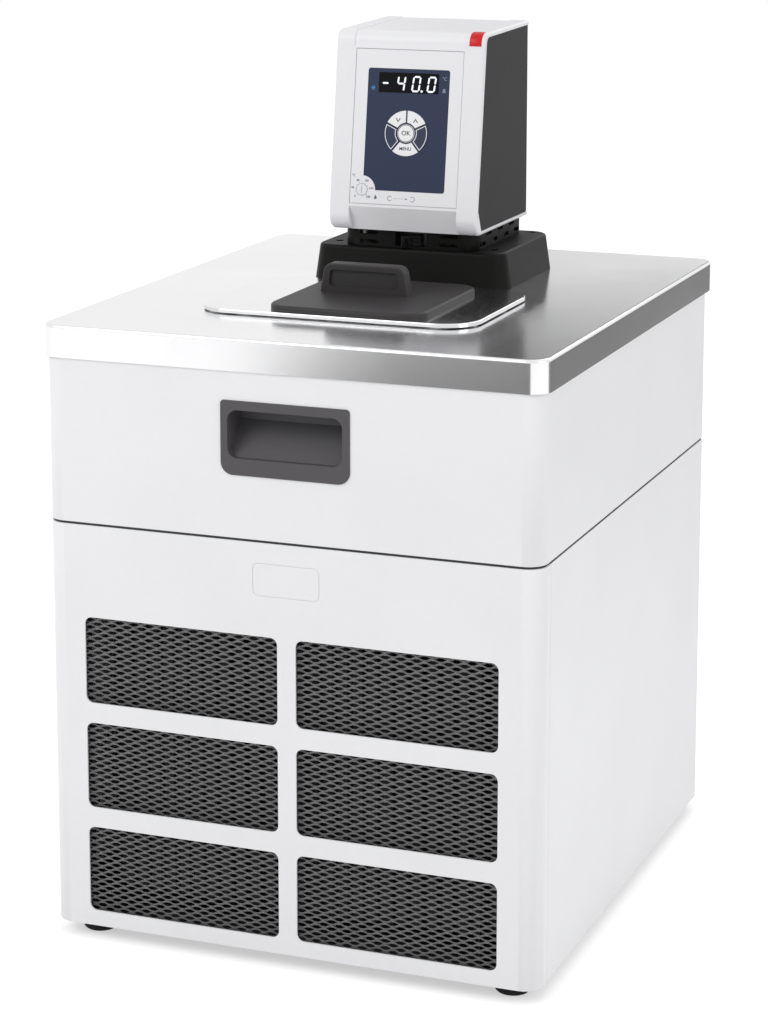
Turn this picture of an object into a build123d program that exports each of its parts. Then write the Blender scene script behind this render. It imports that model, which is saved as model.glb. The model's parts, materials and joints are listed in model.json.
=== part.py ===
from build123d import *
import math
import os

# Refrigerated circulator: a cooling cabinet with a bath in its top and a control head on a bridge.
# X runs to the right, Y to the back and Z up. The origin is on the floor under the middle of the
# top plate. Sizes are in millimetres. Places along Y are given as distances behind the front face
# of the casing and become model places through the value front.

os.makedirs("parts", exist_ok=True)

# Casing
casing_width = 414.0
casing_depth = 480.0
casing_corner = 16.0
panel_thickness = 1.5
panel_clearance = 0.2
wrap_depth = 22.7
wrap_gap = 0.8
seam_height = 346.3
seam_gap = 2.0
deck_rim = 11.0

# Feet and base pan
foot_height = 12.0
foot_radius = 14.0
foot_inset_x = 29.0
foot_inset_y = 28.0
foot_stud_radius = 4.0
foot_stud_rise = 3.5
foot_chamfer = 1.5
pan_thickness = 1.5
pan_rim = 20.0
post_leg = 22.0
post_thickness = 2.0
post_inset = 9.0

# Top plate
plate_top = 506.3
plate_thickness = 1.2
plate_skirt = 26.0
plate_side_overhang = 2.0
plate_front_overhang = 1.5
plate_rear_overhang = 10.0
plate_fold = 2.5

# Windows of the front panel and the expanded metal behind them
window_width = 166.0
window_height = 71.0
window_corner = 6.0
window_rib = 15.4
window_pitch = 87.6
window_lowest = 25.0
mesh_gap = 2.5
mesh_thickness = 1.2
mesh_margin = 14.0
mesh_rim = 3.0
diamond_length = 33.2
diamond_height = 14.2
strand = 3.0

# Bare badge field on the front panel
badge_width = 56.0
badge_height = 26.5
badge_bottom = 303.8
badge_groove = 0.6
badge_corner = 5.0

# Carrying grips in the upper casing
grip_width = 107.2
grip_height = 58.8
grip_bottom = 398.6
grip_flange = 1.2
grip_flange_edge = 0.4
grip_overrun = 5.0
grip_wall = 2.0
grip_border = 6.0
grip_sill = 13.4
grip_lintel = 7.4
grip_reach = 26.0
grip_slope_depth = 4.0
grip_slope_rise = 26.0
grip_top_radius = 3.0
grip_bottom_radius = 10.0
pocket_radius = 8.0

# Bath tank, its windings and its foam
tank_width = 184.0
tank_length = 296.0
tank_front = 97.0
tank_depth = 150.0
tank_wall = 1.0
tank_corner = 20.0
tank_floor_radius = 8.0
tank_flange = 8.0
foam_thickness = 28.0
foam_floor = 28.0
foam_clearance = 0.3
deck_thickness = 1.5
winding_height = 9.0
winding_depth = 5.0
winding_pitch = 20.0
winding_turns = 6
winding_clearance = 0.2
winding_break = 24.0

# Bath cover and lid
cover_width = 236.0
cover_length = 163.0
cover_front = 88.5
cover_rise = 4.2
cover_thickness = 1.0
cover_rim = 3.2
cover_corner = 30.0
cover_pad_radius = 4.0
collar_depth = 9.0
collar_clearance = 0.5
bath_opening_length = 144.0
lid_width = 133.0
lid_length = 148.0
lid_front = 91.0
lid_offset = 9.5
lid_thickness = 5.0
lid_corner = 21.0
lid_overlap = 9.0
lip_depth = 4.0
lip_width = 2.0
lip_clearance = 0.5
handle_front = 165.0
handle_depth = 14.0
handle_height = 23.5
handle_half_foot = 38.0
handle_half_top = 34.0
handle_corner = 8.0
handle_field_border = 5.0
handle_field_inset = 7.5
handle_field_depth = 2.5
handle_edge = 1.5

# Bridge that carries the head across the plate
bridge_middle = 333.5
bridge_width = 176.0
bridge_length = 143.0
bridge_height = 30.7
bridge_corner = 20.0
bridge_draft = 8.0
bridge_wall = 3.0
bridge_edge = 3.0
bridge_screw_x = 70.0
bridge_screw_front = 44.5
bridge_screw_rear = 58.5
bridge_screw_well = 3.5
bridge_boss = 6.5
pump_opening_width = 116.0
pump_opening_length = 90.0

# Neck with its air slots
neck_width = 120.0
neck_length = 127.0
neck_height = 15.0
neck_corner = 14.0
neck_wall = 2.5
neck_slot_width = 16.0
neck_slot_height = 3.4
neck_slot_x = 35.6
neck_lower_slot = 4.2
neck_upper_slot = 12.0
neck_side_slot = 14.0
neck_side_pitch = 30.0
lever_window_left = -11.9
lever_window_right = 16.3
lever_window_sill = 1.4

# Flow lever
lever_hub_x = 6.1
lever_hub_setback = 5.0
lever_hub_radius = 5.8
lever_hub_gap = 0.3
lever_hub_top = 11.0
lever_ring_low = 5.2
lever_ring_high = 8.2
lever_ring_width = 0.8
lever_ring_depth = 0.5
lever_spindle_radius = 2.5
lever_spindle_length = 18.0
lever_post_width = 4.6
lever_post_x = -9.6
lever_post_y = -8.0
lever_post_drop = 1.6
lever_post_rise = 2.2

# Control head
head_width = 132.0
head_front_reach = 78.8
head_rear_reach = 55.0
head_height = 170.0
head_roof_fall = 3.0
head_wall = 3.5
head_lean = 8.16
head_top_radius = 10.0
head_foot_radius = 13.0
head_edge = 2.6
fascia_foot = 23.3
chin_top = 21.0
chin_setback = 12.6
chin_cut_reach = 4.0
band_width = 100.0
band_depth = 0.7
band_gap = 1.0
housing_wall = 2.5
housing_inset = 0.8
housing_clearance = 0.2
housing_run_out = 1.2
head_slot_count = 8
head_slot_width = 60.0
head_slot_height = 3.0
head_slot_pitch = 9.0
head_slot_bottom = 60.0

# Fascia, screen and keypad, in the leaning plane of the fascia
fascia_width = 96.0
fascia_height = 130.5
fascia_thickness = 2.0
fascia_sink = 0.3
fascia_gap = 0.15
fascia_ledge = 2.0
screen_width = 72.4
screen_bottom = 12.0
screen_top = 114.3
screen_thickness = 1.0
screen_corner = 2.0
screen_notch = 12.0
display_left = -26.4
display_right = 26.7
display_bottom = 94.3
display_top = 111.0
display_gap = 0.1
board_depth = 12.0
board_thickness = 1.6
board_margin = 4.0
standoff_radius = 3.0
standoff_x = 42.0
standoff_low = 28.0
standoff_high = 121.0
keypad_height = 60.6
key_outer = 19.0
key_inner = 8.9
ok_radius = 7.6
key_rib = 1.4
key_gap = 0.2
key_proud = 0.8
key_depth = 6.0
key_travel = 0.6
key_cut_reach = 60.0
switch_size = 4.0
switch_slack = 0.2
trimmer_size = 6.0
arrow_key_start = 25.5
arrow_key_end = 90.0
side_key_end = -51.0
dial_x = -37.1
dial_height = 12.0
dial_radius = 4.75
dial_bore_clearance = 0.05
dial_proud = 0.3
dial_slot_length = 6.3
dial_slot_width = 0.9
dial_slot_depth = 0.7

# Status light over the head's front edge
light_left = 52.0
light_width = 10.5
light_thickness = 1.8
light_proud = 0.3
light_gap = 0.1
light_foot = 157.0
light_length = 40.0

# Pump and its motor
shaft_radius = 4.0
bearing_clearance = 0.05
motor_radius = 32.0
motor_height = 72.0
motor_bell_radius = 22.0
motor_bell_height = 8.0
motor_mouth_radius = 16.0
pump_radius = 25.0
pump_height = 22.0
pump_wall = 3.0
pump_bottom_gap = 17.0
pump_inlet_radius = 9.0
impeller_clearance = 1.5
impeller_disc = 2.0
vane_count = 6
vane_thickness = 1.6
vane_height = 10.0
vane_lean = 35.0
column_radius = 11.0
column_bore = 7.0
riser_radius = 6.0
riser_bore = 4.0
riser_reach = 37.0

# Heater, probe and level float
heater_tube = 4.0
heater_half_width = 32.0
heater_advance = 32.0
heater_depth = 128.0
heater_bend = 16.0
probe_x = 47.0
probe_setback = 14.0
probe_radius = 3.0
probe_length = 96.0
stem_radius = 2.5
stem_length = 70.0
stem_collar = 5.0
stem_collar_height = 3.0
float_radius = 8.0
float_height = 20.0
float_clearance = 0.3
float_rest_gap = 0.2
socket_wall = 3.0

# Hose ports at the back of the bridge
port_spacing = 56.0
port_height = 15.0
port_radius = 8.0
port_bore = 5.0
port_length = 14.0
port_flange_radius = 11.0
port_flange = 3.0
port_hole_clearance = 0.1
port_pad_width = 96.0
port_pad_height = 27.0
port_tail = 8.0

# Condenser and fan
condenser_width = 300.0
condenser_depth = 40.0
condenser_front = 24.0
condenser_bottom = 40.0
condenser_top = 280.0
condenser_plate = 2.0
header_radius = 9.0
header_sink = 1.0
fin_count = 24
fin_groove = 5.0
fin_groove_depth = 8.0
fan_height = 160.0
fan_radius = 102.0
fan_tip_clearance = 5.0
fan_blade_count = 5
fan_hub_radius = 30.0
blade_root_pitch = 42.0
blade_tip_pitch = 18.0
blade_fill = 0.9
blade_thickness = 2.0
blade_root_sink = 3.0
fan_gap = 3.0
shroud_thickness = 2.0
shroud_depth = 30.0
spider_arm = 10.0
spider_thickness = 3.0
fan_motor_radius = 34.0
fan_motor_length = 52.0
fan_shaft_radius = 3.0
fan_shaft_depth = 16.0
fan_shaft_play = 1.0
fan_motor_edge = 4.0

# Compressor and refrigerant lines
compressor_x = 66.0
compressor_y = 330.0
compressor_radius = 72.0
compressor_height = 165.0
compressor_seam = 2.0
compressor_dome = 36.0
compressor_plate = 3.0
terminal_width = 52.0
terminal_height = 60.0
terminal_depth = 14.0
mount_spacing_x = 126.0
mount_spacing_y = 96.0
mount_radius = 9.0
mount_height = 12.0
mount_bore = 3.5
line_radius = 4.0
line_bend = 18.0
discharge_bend = 14.0
line_hole_clearance = 0.5
stub_radius = 5.5
stub_length = 3.0
discharge_height = 121.0
suction_height = 140.0
liquid_height = 60.0
drier_radius = 13.0
drier_length = 84.0
drier_cone = 12.0
drier_y = 240.0

# Drain
drain_x = -70.0
drain_y = 118.0
drain_pipe_radius = 5.0
drain_pipe_bore = 3.5
drain_height = 304.0
drain_bend = 16.0
valve_front = 30.0
valve_length = 26.0
valve_radius = 9.0
spout_radius = 5.5
spout_bore = 4.0
spout_length = 17.0
spout_step = 0.6
knob_radius = 12.0
knob_thickness = 7.0
knob_wing = 4.0
knob_lobes = 6
knob_lobe_radius = 2.2
knob_stem_radius = 3.0
knob_stem_length = 10.0
knob_gap = 0.3

# Electrics at the back
relay_width = 80.0
relay_depth = 150.0
relay_height = 130.0
relay_inset = 57.0
relay_front = 255.0
relay_edge = 3.0
inlet_inset = 77.0
inlet_height = 62.0
inlet_width = 58.0
inlet_tall = 30.0
inlet_flange = 4.0
inlet_proud = 2.0
inlet_depth = 28.0
inlet_socket_width = 24.0
inlet_socket_height = 17.0
inlet_socket_depth = 18.0
inlet_socket_x = 13.0
inlet_pin_length = 12.0
inlet_pin_width = 2.0
inlet_pin_height = 4.0
inlet_pin_pitch = 7.0
inlet_pin_drop = 1.5
inlet_socket_corner = 4.0
rocker_x = -15.0
rocker_width = 14.0
rocker_height = 22.0
rocker_gap = 0.4
rocker_face = 2.5
rocker_back = 3.0
rocker_pin_reach = 1.6
rocker_pin_radius = 1.5
rocker_tilt = 7.0

# Slots and screws of the rear panel
louvre_width = 70.0
louvre_height = 4.0
louvre_pitch = 14.0
louvre_column_pitch = 88.0
louvre_rows = 9
louvre_bottom = 130.0
screw_radius = 2.0
screw_clearance = 0.3
screw_head_radius = 3.2
screw_head = 1.8
screw_length = 9.0
screw_margin = 10.0
screw_rise = 12.0

# Derived places
plate_width = casing_width + 2 * plate_side_overhang
plate_depth = casing_depth + plate_front_overhang + plate_rear_overhang
front = plate_front_overhang - plate_depth / 2
middle = front + casing_depth / 2
rear = front + casing_depth
plate_underside = plate_top - plate_thickness
tank_floor = plate_underside - tank_depth
deck_top = tank_floor - tank_wall - foam_floor
deck_bottom = deck_top - deck_thickness
tank_middle = front + tank_front + tank_length / 2
bridge_y = front + bridge_middle
bridge_top = plate_top + bridge_height
head_bottom = bridge_top + neck_height
head_top = head_bottom + head_height
head_rear = bridge_y + head_rear_reach
fascia_foot_z = head_bottom + fascia_foot
fascia_foot_y = bridge_y - head_front_reach
lean = math.radians(head_lean)
cover_y = front + cover_front + cover_length / 2
cover_top = plate_top + cover_rise
lid_y = front + lid_front + lid_length / 2
inner_inset = panel_thickness + panel_clearance
pan_top = foot_height + pan_thickness
relay_x = relay_inset - casing_width / 2
inlet_x = inlet_inset - casing_width / 2
panel_height = seam_height - foot_height
mesh_reach = panel_thickness + mesh_gap + mesh_thickness
mesh_width = 2 * window_width + window_rib + 2 * mesh_margin
wrap_line = casing_width / 2 - wrap_depth
rear_width = 2 * (wrap_line - wrap_gap)
screw_x = rear_width / 2 - screw_margin
screw_bore = screw_radius + screw_clearance
rear_screws = [(side * screw_x, height) for side in (-1, 1)
               for height in (foot_height + screw_rise, deck_top + screw_rise)]
tank_rear = front + tank_front + tank_length
winding_inset = tank_wall + winding_clearance
foam_reach = winding_inset + winding_depth + foam_clearance
winding_y = tank_rear + winding_inset + winding_depth / 2
winding_low = tank_floor + tank_floor_radius + winding_height / 2
windings = [winding_low + turn * winding_pitch for turn in range(winding_turns)]
line_hole = line_radius + line_hole_clearance
header_x = condenser_width / 2 + condenser_plate + header_radius - header_sink
liquid_y = front + drier_y + drier_length + 2 * line_bend
suction_y = tank_rear + foam_reach + foam_thickness + line_bend + line_radius


def rounded_plan(width, length, radius):
    """Rounded rectangle drawn about its own middle."""
    with BuildSketch() as plan:
        RectangleRounded(width, length, radius)
    return plan.sketch


def casing_plan(inset):
    """Outline of the casing seen from above, moved in by inset."""
    with BuildSketch() as plan:
        with Locations((0, middle)):
            RectangleRounded(casing_width - 2 * inset, casing_depth - 2 * inset, casing_corner - inset)
    return plan.sketch


def wall_plan(inset, thickness):
    """Plan of a wall that follows the casing's outline."""
    outside = casing_plan(inset)
    inside = casing_plan(inset + thickness)
    with BuildSketch() as plan:
        add(outside)
        add(inside, mode=Mode.SUBTRACT)
    return plan.sketch


outer_wall = wall_plan(0, panel_thickness)
inner_wall = wall_plan(inner_inset, pan_thickness)
inner_floor = casing_plan(inner_inset)

# Feet: rubber pads with a stud that passes into the pan
foot_places = GridLocations(casing_width - 2 * foot_inset_x, casing_depth - 2 * foot_inset_y, 2, 2)
foot_centres = [(place.position.X, place.position.Y + middle) for place in foot_places]
with BuildPart() as feet:
    with BuildSketch():
        with Locations(*foot_centres):
            Circle(foot_radius)
    extrude(amount=foot_height)
    chamfer(feet.edges().group_by(Axis.Z)[0], foot_chamfer)
    with BuildSketch(Plane.XY.offset(foot_height)):
        with Locations(*foot_centres):
            Circle(foot_stud_radius)
    extrude(amount=foot_stud_rise)
feet.part.label = "feet"
export_step(feet.part, "parts/feet.step")

# Base pan: folded steel tray with four angle posts welded in its corners
post_x = casing_width / 2 - inner_inset - post_inset
post_front = front + inner_inset + post_inset
post_rear = rear - inner_inset - post_inset
with BuildPart() as base_pan:
    with BuildSketch(Plane.XY.offset(foot_height)):
        add(inner_floor)
    extrude(amount=pan_thickness)
    with BuildSketch(Plane.XY.offset(foot_height)):
        add(inner_wall)
    extrude(amount=pan_rim)
    with BuildSketch(Plane.XY.offset(pan_top)):
        for side in (-1, 1):
            for post_y, inward in ((post_front, 1), (post_rear, -1)):
                with Locations((side * (post_x - post_leg / 2), post_y + inward * post_thickness / 2)):
                    Rectangle(post_leg, post_thickness)
                with Locations((side * (post_x - post_thickness / 2), post_y + inward * post_leg / 2)):
                    Rectangle(post_thickness, post_leg)
    extrude(amount=deck_bottom - pan_top)
    with BuildSketch(Plane.XY.offset(foot_height)):
        with Locations(*foot_centres):
            Circle(foot_stud_radius + panel_clearance)
    extrude(amount=pan_thickness, mode=Mode.SUBTRACT)
    with BuildSketch(Plane.XY.offset(pan_top)):
        with Locations((0, front + mesh_reach / 2)):
            Rectangle(mesh_width + 2 * panel_clearance, mesh_reach + 2 * panel_clearance)
    extrude(amount=pan_rim, mode=Mode.SUBTRACT)
    with BuildSketch(Plane.XZ.offset(-rear)):
        with Locations(*rear_screws):
            Circle(screw_bore)
    extrude(amount=screw_length, mode=Mode.SUBTRACT)
base_pan.part.label = "base_pan"
export_step(base_pan.part, "parts/base_pan.step")

# Front panel: one folded sheet that wraps round both corners, with two columns of three windows
window_x = (window_width + window_rib) / 2
window_middles = [window_lowest + window_height / 2 + row * window_pitch for row in range(3)]
window_centres = [(side * window_x, height) for side in (-1, 1) for height in window_middles]
with BuildPart() as front_panel:
    with BuildSketch(Plane.XY.offset(foot_height)):
        add(outer_wall)
        with Locations((0, front + wrap_depth / 2)):
            Rectangle(casing_width, wrap_depth, mode=Mode.INTERSECT)
    extrude(amount=panel_height)
    with BuildSketch(Plane.XZ.offset(-front)):
        with Locations(*window_centres):
            RectangleRounded(window_width, window_height, window_corner)
    extrude(amount=-panel_thickness, mode=Mode.SUBTRACT)
    with BuildSketch(Plane.XZ.offset(-front)):
        with Locations((0, badge_bottom + badge_height / 2)):
            RectangleRounded(badge_width, badge_height, badge_corner)
            RectangleRounded(badge_width - 2 * badge_groove, badge_height - 2 * badge_groove,
                             badge_corner - badge_groove, mode=Mode.SUBTRACT)
    extrude(amount=-badge_groove, mode=Mode.SUBTRACT)
front_panel.part.label = "front_panel"
export_step(front_panel.part, "parts/front_panel.step")

# Expanded metal grille: a sheet of long diamonds with a folded rim that meets the panel
mesh_back = front + mesh_reach
mesh_low = window_lowest - mesh_margin + mesh_rim
mesh_high = window_middles[-1] + window_height / 2 + mesh_margin
mesh_middle = (mesh_low + mesh_high) / 2
columns = round(window_width / diamond_length)
rows = round(window_height / diamond_height)


def diamond_centres():
    """Middles of the staggered diamonds behind one window, measured from the window's middle."""
    first_x = -(columns - 1) / 2 * diamond_length
    first_z = -(rows - 1) / 2 * diamond_height
    centres = [(first_x + column * diamond_length, first_z + row * diamond_height)
               for column in range(columns) for row in range(rows)]
    centres += [(first_x + (column - 0.5) * diamond_length, first_z + (row - 0.5) * diamond_height)
                for column in range(columns + 1) for row in range(rows + 1)]
    return centres


half_length = diamond_length / 2 - strand
half_height = (diamond_height - strand) / 2
diamonds = diamond_centres()
with BuildSketch() as diamond:
    with BuildLine():
        Polyline((-half_length, 0), (0, -half_height), (half_length, 0), (0, half_height), close=True)
    make_face()
with BuildPart() as grille_mesh:
    with BuildSketch(Plane.XZ.offset(-mesh_back)):
        with Locations((0, mesh_middle)):
            Rectangle(mesh_width, mesh_high - mesh_low)
    extrude(amount=mesh_thickness + mesh_gap)
    with BuildSketch(Plane.XZ.offset(-(mesh_back - mesh_thickness))):
        with Locations((0, mesh_middle)):
            Rectangle(mesh_width - 2 * mesh_rim, mesh_high - mesh_low - 2 * mesh_rim)
    extrude(amount=mesh_gap, mode=Mode.SUBTRACT)
    with BuildSketch(Plane.XZ.offset(-mesh_back)):
        for window in window_centres:
            with Locations(*[(window[0] + x, window[1] + z) for x, z in diamonds]):
                add(diamond.sketch)
    extrude(amount=mesh_thickness, mode=Mode.SUBTRACT)
grille_mesh.part.label = "grille_mesh"
export_step(grille_mesh.part, "parts/grille_mesh.step")

# Side panels: each runs from the front panel's edge round the rear corner
side_length = casing_depth - wrap_depth - wrap_gap
for side, label in ((-1, "side_panel_left"), (1, "side_panel_right")):
    with BuildPart() as side_panel:
        with BuildSketch(Plane.XY.offset(foot_height)):
            add(outer_wall)
            with Locations((side * (wrap_line + wrap_depth / 2), rear - side_length / 2)):
                Rectangle(wrap_depth, side_length, mode=Mode.INTERSECT)
        extrude(amount=panel_height)
    side_panel.part.label = label
    export_step(side_panel.part, f"parts/{label}.step")

# Rear panel with rows of air slots, the opening for the power inlet and its screw holes
with BuildPart() as rear_panel:
    with BuildSketch(Plane.XZ.offset(-rear)):
        with Locations((0, foot_height + panel_height / 2)):
            Rectangle(rear_width, panel_height)
        with Locations((0, louvre_bottom + (louvre_rows - 1) * louvre_pitch / 2)):
            with GridLocations(louvre_column_pitch, louvre_pitch, 3, louvre_rows):
                Rectangle(louvre_width, louvre_height, mode=Mode.SUBTRACT)
        with Locations((inlet_x, inlet_height)):
            Rectangle(inlet_width, inlet_tall, mode=Mode.SUBTRACT)
        with Locations(*rear_screws):
            Circle(screw_bore, mode=Mode.SUBTRACT)
    extrude(amount=panel_thickness)
rear_panel.part.label = "rear_panel"
export_step(rear_panel.part, "parts/rear_panel.step")

# Deck tray: carries the tank's foam and closes the seam from inside
deck_holes = [(header_x, liquid_y), (compressor_x, suction_y)]
deck_rim_top = seam_height + seam_gap + deck_rim
with BuildPart() as deck_tray:
    with BuildSketch(Plane.XY.offset(deck_bottom)):
        add(inner_floor)
    extrude(amount=deck_thickness)
    with BuildSketch(Plane.XY.offset(deck_bottom)):
        add(inner_wall)
    extrude(amount=deck_rim_top - deck_bottom)
    with BuildSketch(Plane.XY.offset(deck_bottom)):
        with Locations(*deck_holes):
            Circle(line_hole)
        with Locations((drain_x, front + drain_y)):
            Circle(drain_pipe_radius + line_hole_clearance)
    extrude(amount=deck_thickness, mode=Mode.SUBTRACT)
    with BuildSketch(Plane.XZ.offset(-rear)):
        with Locations(*rear_screws):
            Circle(screw_bore)
    extrude(amount=screw_length, mode=Mode.SUBTRACT)
deck_tray.part.label = "deck_tray"
export_step(deck_tray.part, "parts/deck_tray.step")


def grip_space(grow, overrun):
    """Finger space of a grip, grown by a wall, with its mouth run out past the front face."""
    low = grip_bottom + grip_sill
    high = grip_bottom + grip_height - grip_lintel
    half = grip_width / 2 - grip_border
    with BuildPart() as space:
        with BuildSketch(Plane.YZ) as side_view:
            with BuildLine():
                Polyline((-overrun, low), (grip_slope_depth, low), (grip_reach, low + grip_slope_rise),
                         (grip_reach, high), (-overrun, high), close=True)
            make_face()
            offset(amount=grow, kind=Kind.INTERSECTION)
        extrude(amount=half + grow, both=True)
        with BuildSketch(Plane.XZ):
            with Locations((0, (low + high) / 2)):
                RectangleRounded(2 * (half + grow), high - low + 2 * grow, pocket_radius + grow)
        extrude(amount=grip_reach + grow + overrun, both=True, mode=Mode.INTERSECT)
    return space.part


# Upper casing: one wrap-round shell with a grip opening in front and one behind
grip_middle = grip_bottom + grip_height / 2
grip_hole_low = grip_bottom + grip_sill - grip_wall - panel_clearance
grip_hole_high = grip_bottom + grip_height - grip_lintel + grip_wall + panel_clearance
grip_hole_width = grip_width - 2 * grip_border + 2 * (grip_wall + panel_clearance)
casing_bottom = seam_height + seam_gap
with BuildPart() as bath_casing:
    with BuildSketch(Plane.XY.offset(casing_bottom)):
        add(outer_wall)
    extrude(amount=plate_underside - casing_bottom)
    with BuildSketch(Plane.XZ.offset(-rear)):
        with Locations((0, (grip_hole_low + grip_hole_high) / 2)):
            Rectangle(grip_hole_width, grip_hole_high - grip_hole_low)
    extrude(amount=casing_depth, mode=Mode.SUBTRACT)
bath_casing.part.label = "bath_casing"
export_step(bath_casing.part, "parts/bath_casing.step")

# Front grip: moulded cup with a flat flange round its mouth
finger_space = grip_space(0, grip_overrun).moved(Location((0, front, 0)))
grip_shell = grip_space(grip_wall, 0).moved(Location((0, front, 0)))
with BuildPart() as front_grip:
    add(grip_shell)
    with BuildSketch(Plane.XZ.offset(-front)):
        with Locations((0, grip_middle)):
            Rectangle(grip_width, grip_height)
    extrude(amount=2 * grip_wall, mode=Mode.SUBTRACT)
    with BuildSketch(Plane.XZ.offset(-front)) as flange:
        with Locations((0, grip_middle)):
            Rectangle(grip_width, grip_height)
        fillet(flange.vertices().group_by(Axis.Y)[-1], grip_top_radius)
        fillet(flange.vertices().group_by(Axis.Y)[0], grip_bottom_radius)
    extrude(amount=grip_flange)
    chamfer(front_grip.edges().group_by(Axis.Y)[0], grip_flange_edge)
    add(finger_space, mode=Mode.SUBTRACT)
front_grip.part.label = "front_grip"
export_step(front_grip.part, "parts/front_grip.step")

# Rear grip: the same moulding turned to the back wall
with BuildPart() as rear_grip:
    mirror(front_grip.part, about=Plane.XZ.offset(-middle))
rear_grip.part.label = "rear_grip"
export_step(rear_grip.part, "parts/rear_grip.step")

# Top plate: stainless steel tray turned down over the casing
bath_opening_y = cover_y
bridge_screws = [(side * bridge_screw_x, bridge_y + reach) for side in (-1, 1)
                 for reach in (-bridge_screw_front, bridge_screw_rear)]
with BuildPart() as top_plate:
    with BuildSketch(Plane.XY.offset(plate_top - plate_skirt)):
        RectangleRounded(plate_width, plate_depth, casing_corner)
    extrude(amount=plate_skirt)
    fillet(top_plate.faces().sort_by(Axis.Z)[-1].edges(), plate_fold)
    with BuildSketch(Plane.XY.offset(plate_top - plate_skirt)):
        RectangleRounded(plate_width - 2 * plate_thickness, plate_depth - 2 * plate_thickness,
                         casing_corner - plate_thickness)
    extrude(amount=plate_skirt - plate_thickness, mode=Mode.SUBTRACT)
    with BuildSketch(Plane.XY.offset(plate_underside)):
        with Locations((0, bath_opening_y)):
            RectangleRounded(tank_width, bath_opening_length, tank_corner)
        with Locations((0, bridge_y)):
            RectangleRounded(pump_opening_width, pump_opening_length, tank_corner)
        with Locations(*bridge_screws):
            Circle(screw_bore)
    extrude(amount=plate_thickness, mode=Mode.SUBTRACT)
top_plate.part.label = "top_plate"
export_step(top_plate.part, "parts/top_plate.step")

# Bath tank: drawn steel pan with a flange under the plate and a drain hole in its floor
tank_plan = rounded_plan(tank_width, tank_length, tank_corner)
tank_outside = rounded_plan(tank_width + 2 * tank_wall, tank_length + 2 * tank_wall, tank_corner + tank_wall)
with BuildPart() as tank_space:
    with BuildSketch(Plane.XY.offset(tank_floor)):
        with Locations((0, tank_middle)):
            add(tank_plan)
    extrude(amount=tank_depth)
    fillet(tank_space.faces().sort_by(Axis.Z)[0].edges(), tank_floor_radius)
with BuildPart() as bath_tank:
    with BuildSketch(Plane.XY.offset(tank_floor - tank_wall)):
        with Locations((0, tank_middle)):
            add(tank_outside)
    extrude(amount=tank_depth + tank_wall)
    fillet(bath_tank.faces().sort_by(Axis.Z)[0].edges(), tank_floor_radius + tank_wall)
    with BuildSketch(Plane.XY.offset(plate_underside - tank_wall)):
        with Locations((0, tank_middle)):
            RectangleRounded(tank_width + 2 * tank_flange, tank_length + 2 * tank_flange,
                             tank_corner + tank_flange)
    extrude(amount=tank_wall)
    add(tank_space.part, mode=Mode.SUBTRACT)
    with BuildSketch(Plane.XY.offset(tank_floor - tank_wall)):
        with Locations((drain_x, front + drain_y)):
            Circle(drain_pipe_bore)
    extrude(amount=tank_wall, mode=Mode.SUBTRACT)
bath_tank.part.label = "bath_tank"
export_step(bath_tank.part, "parts/bath_tank.step")

# Evaporator: flattened tube wound round the tank, stepping down behind it
with BuildPart() as evaporator:
    for height in windings:
        with BuildSketch(Plane.XY.offset(height - winding_height / 2)):
            with Locations((0, tank_middle)):
                RectangleRounded(tank_width + 2 * (winding_inset + winding_depth),
                                 tank_length + 2 * (winding_inset + winding_depth),
                                 tank_corner + winding_inset + winding_depth)
                RectangleRounded(tank_width + 2 * winding_inset, tank_length + 2 * winding_inset,
                                 tank_corner + winding_inset, mode=Mode.SUBTRACT)
            with Locations((0, winding_y)):
                Rectangle(winding_break, 2 * winding_depth, mode=Mode.SUBTRACT)
        extrude(amount=winding_height)
    with BuildSketch(Plane.XZ.offset(-(winding_y + winding_depth / 2))):
        for lower in windings[:-1]:
            with BuildLine():
                Polyline((-winding_break / 2, lower - winding_height / 2),
                         (winding_break / 2, lower + winding_pitch - winding_height / 2),
                         (winding_break / 2, lower + winding_pitch + winding_height / 2),
                         (-winding_break / 2, lower + winding_height / 2), close=True)
            make_face()
    extrude(amount=winding_depth)
evaporator.part.label = "evaporator"
export_step(evaporator.part, "parts/evaporator.step")

# Foam: block round the tank and its windings, standing on the deck
with BuildPart() as tank_foam:
    with BuildSketch(Plane.XY.offset(deck_top)):
        with Locations((0, tank_middle)):
            Rectangle(tank_width + 2 * (foam_reach + foam_thickness),
                      tank_length + 2 * (foam_reach + foam_thickness))
    extrude(amount=plate_underside - tank_wall - deck_top)
    with BuildSketch(Plane.XY.offset(deck_top + foam_floor)):
        with Locations((0, tank_middle)):
            RectangleRounded(tank_width + 2 * foam_reach, tank_length + 2 * foam_reach,
                             tank_corner + foam_reach)
    extrude(amount=tank_depth, mode=Mode.SUBTRACT)
    with BuildSketch(Plane.XY.offset(deck_top)):
        with Locations((drain_x, front + drain_y)):
            Circle(drain_pipe_radius + line_hole_clearance)
    extrude(amount=foam_floor, mode=Mode.SUBTRACT)
    with BuildSketch(Plane.XZ.offset(-(tank_rear + foam_reach))):
        with Locations((compressor_x, windings[0])):
            Circle(line_hole)
    extrude(amount=-foam_thickness, mode=Mode.SUBTRACT)
    with BuildSketch(Plane.YZ.offset(tank_width / 2 + foam_reach)):
        with Locations((liquid_y, windings[-1])):
            Circle(line_hole)
    extrude(amount=foam_thickness, mode=Mode.SUBTRACT)
tank_foam.part.label = "tank_foam"
export_step(tank_foam.part, "parts/tank_foam.step")

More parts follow.
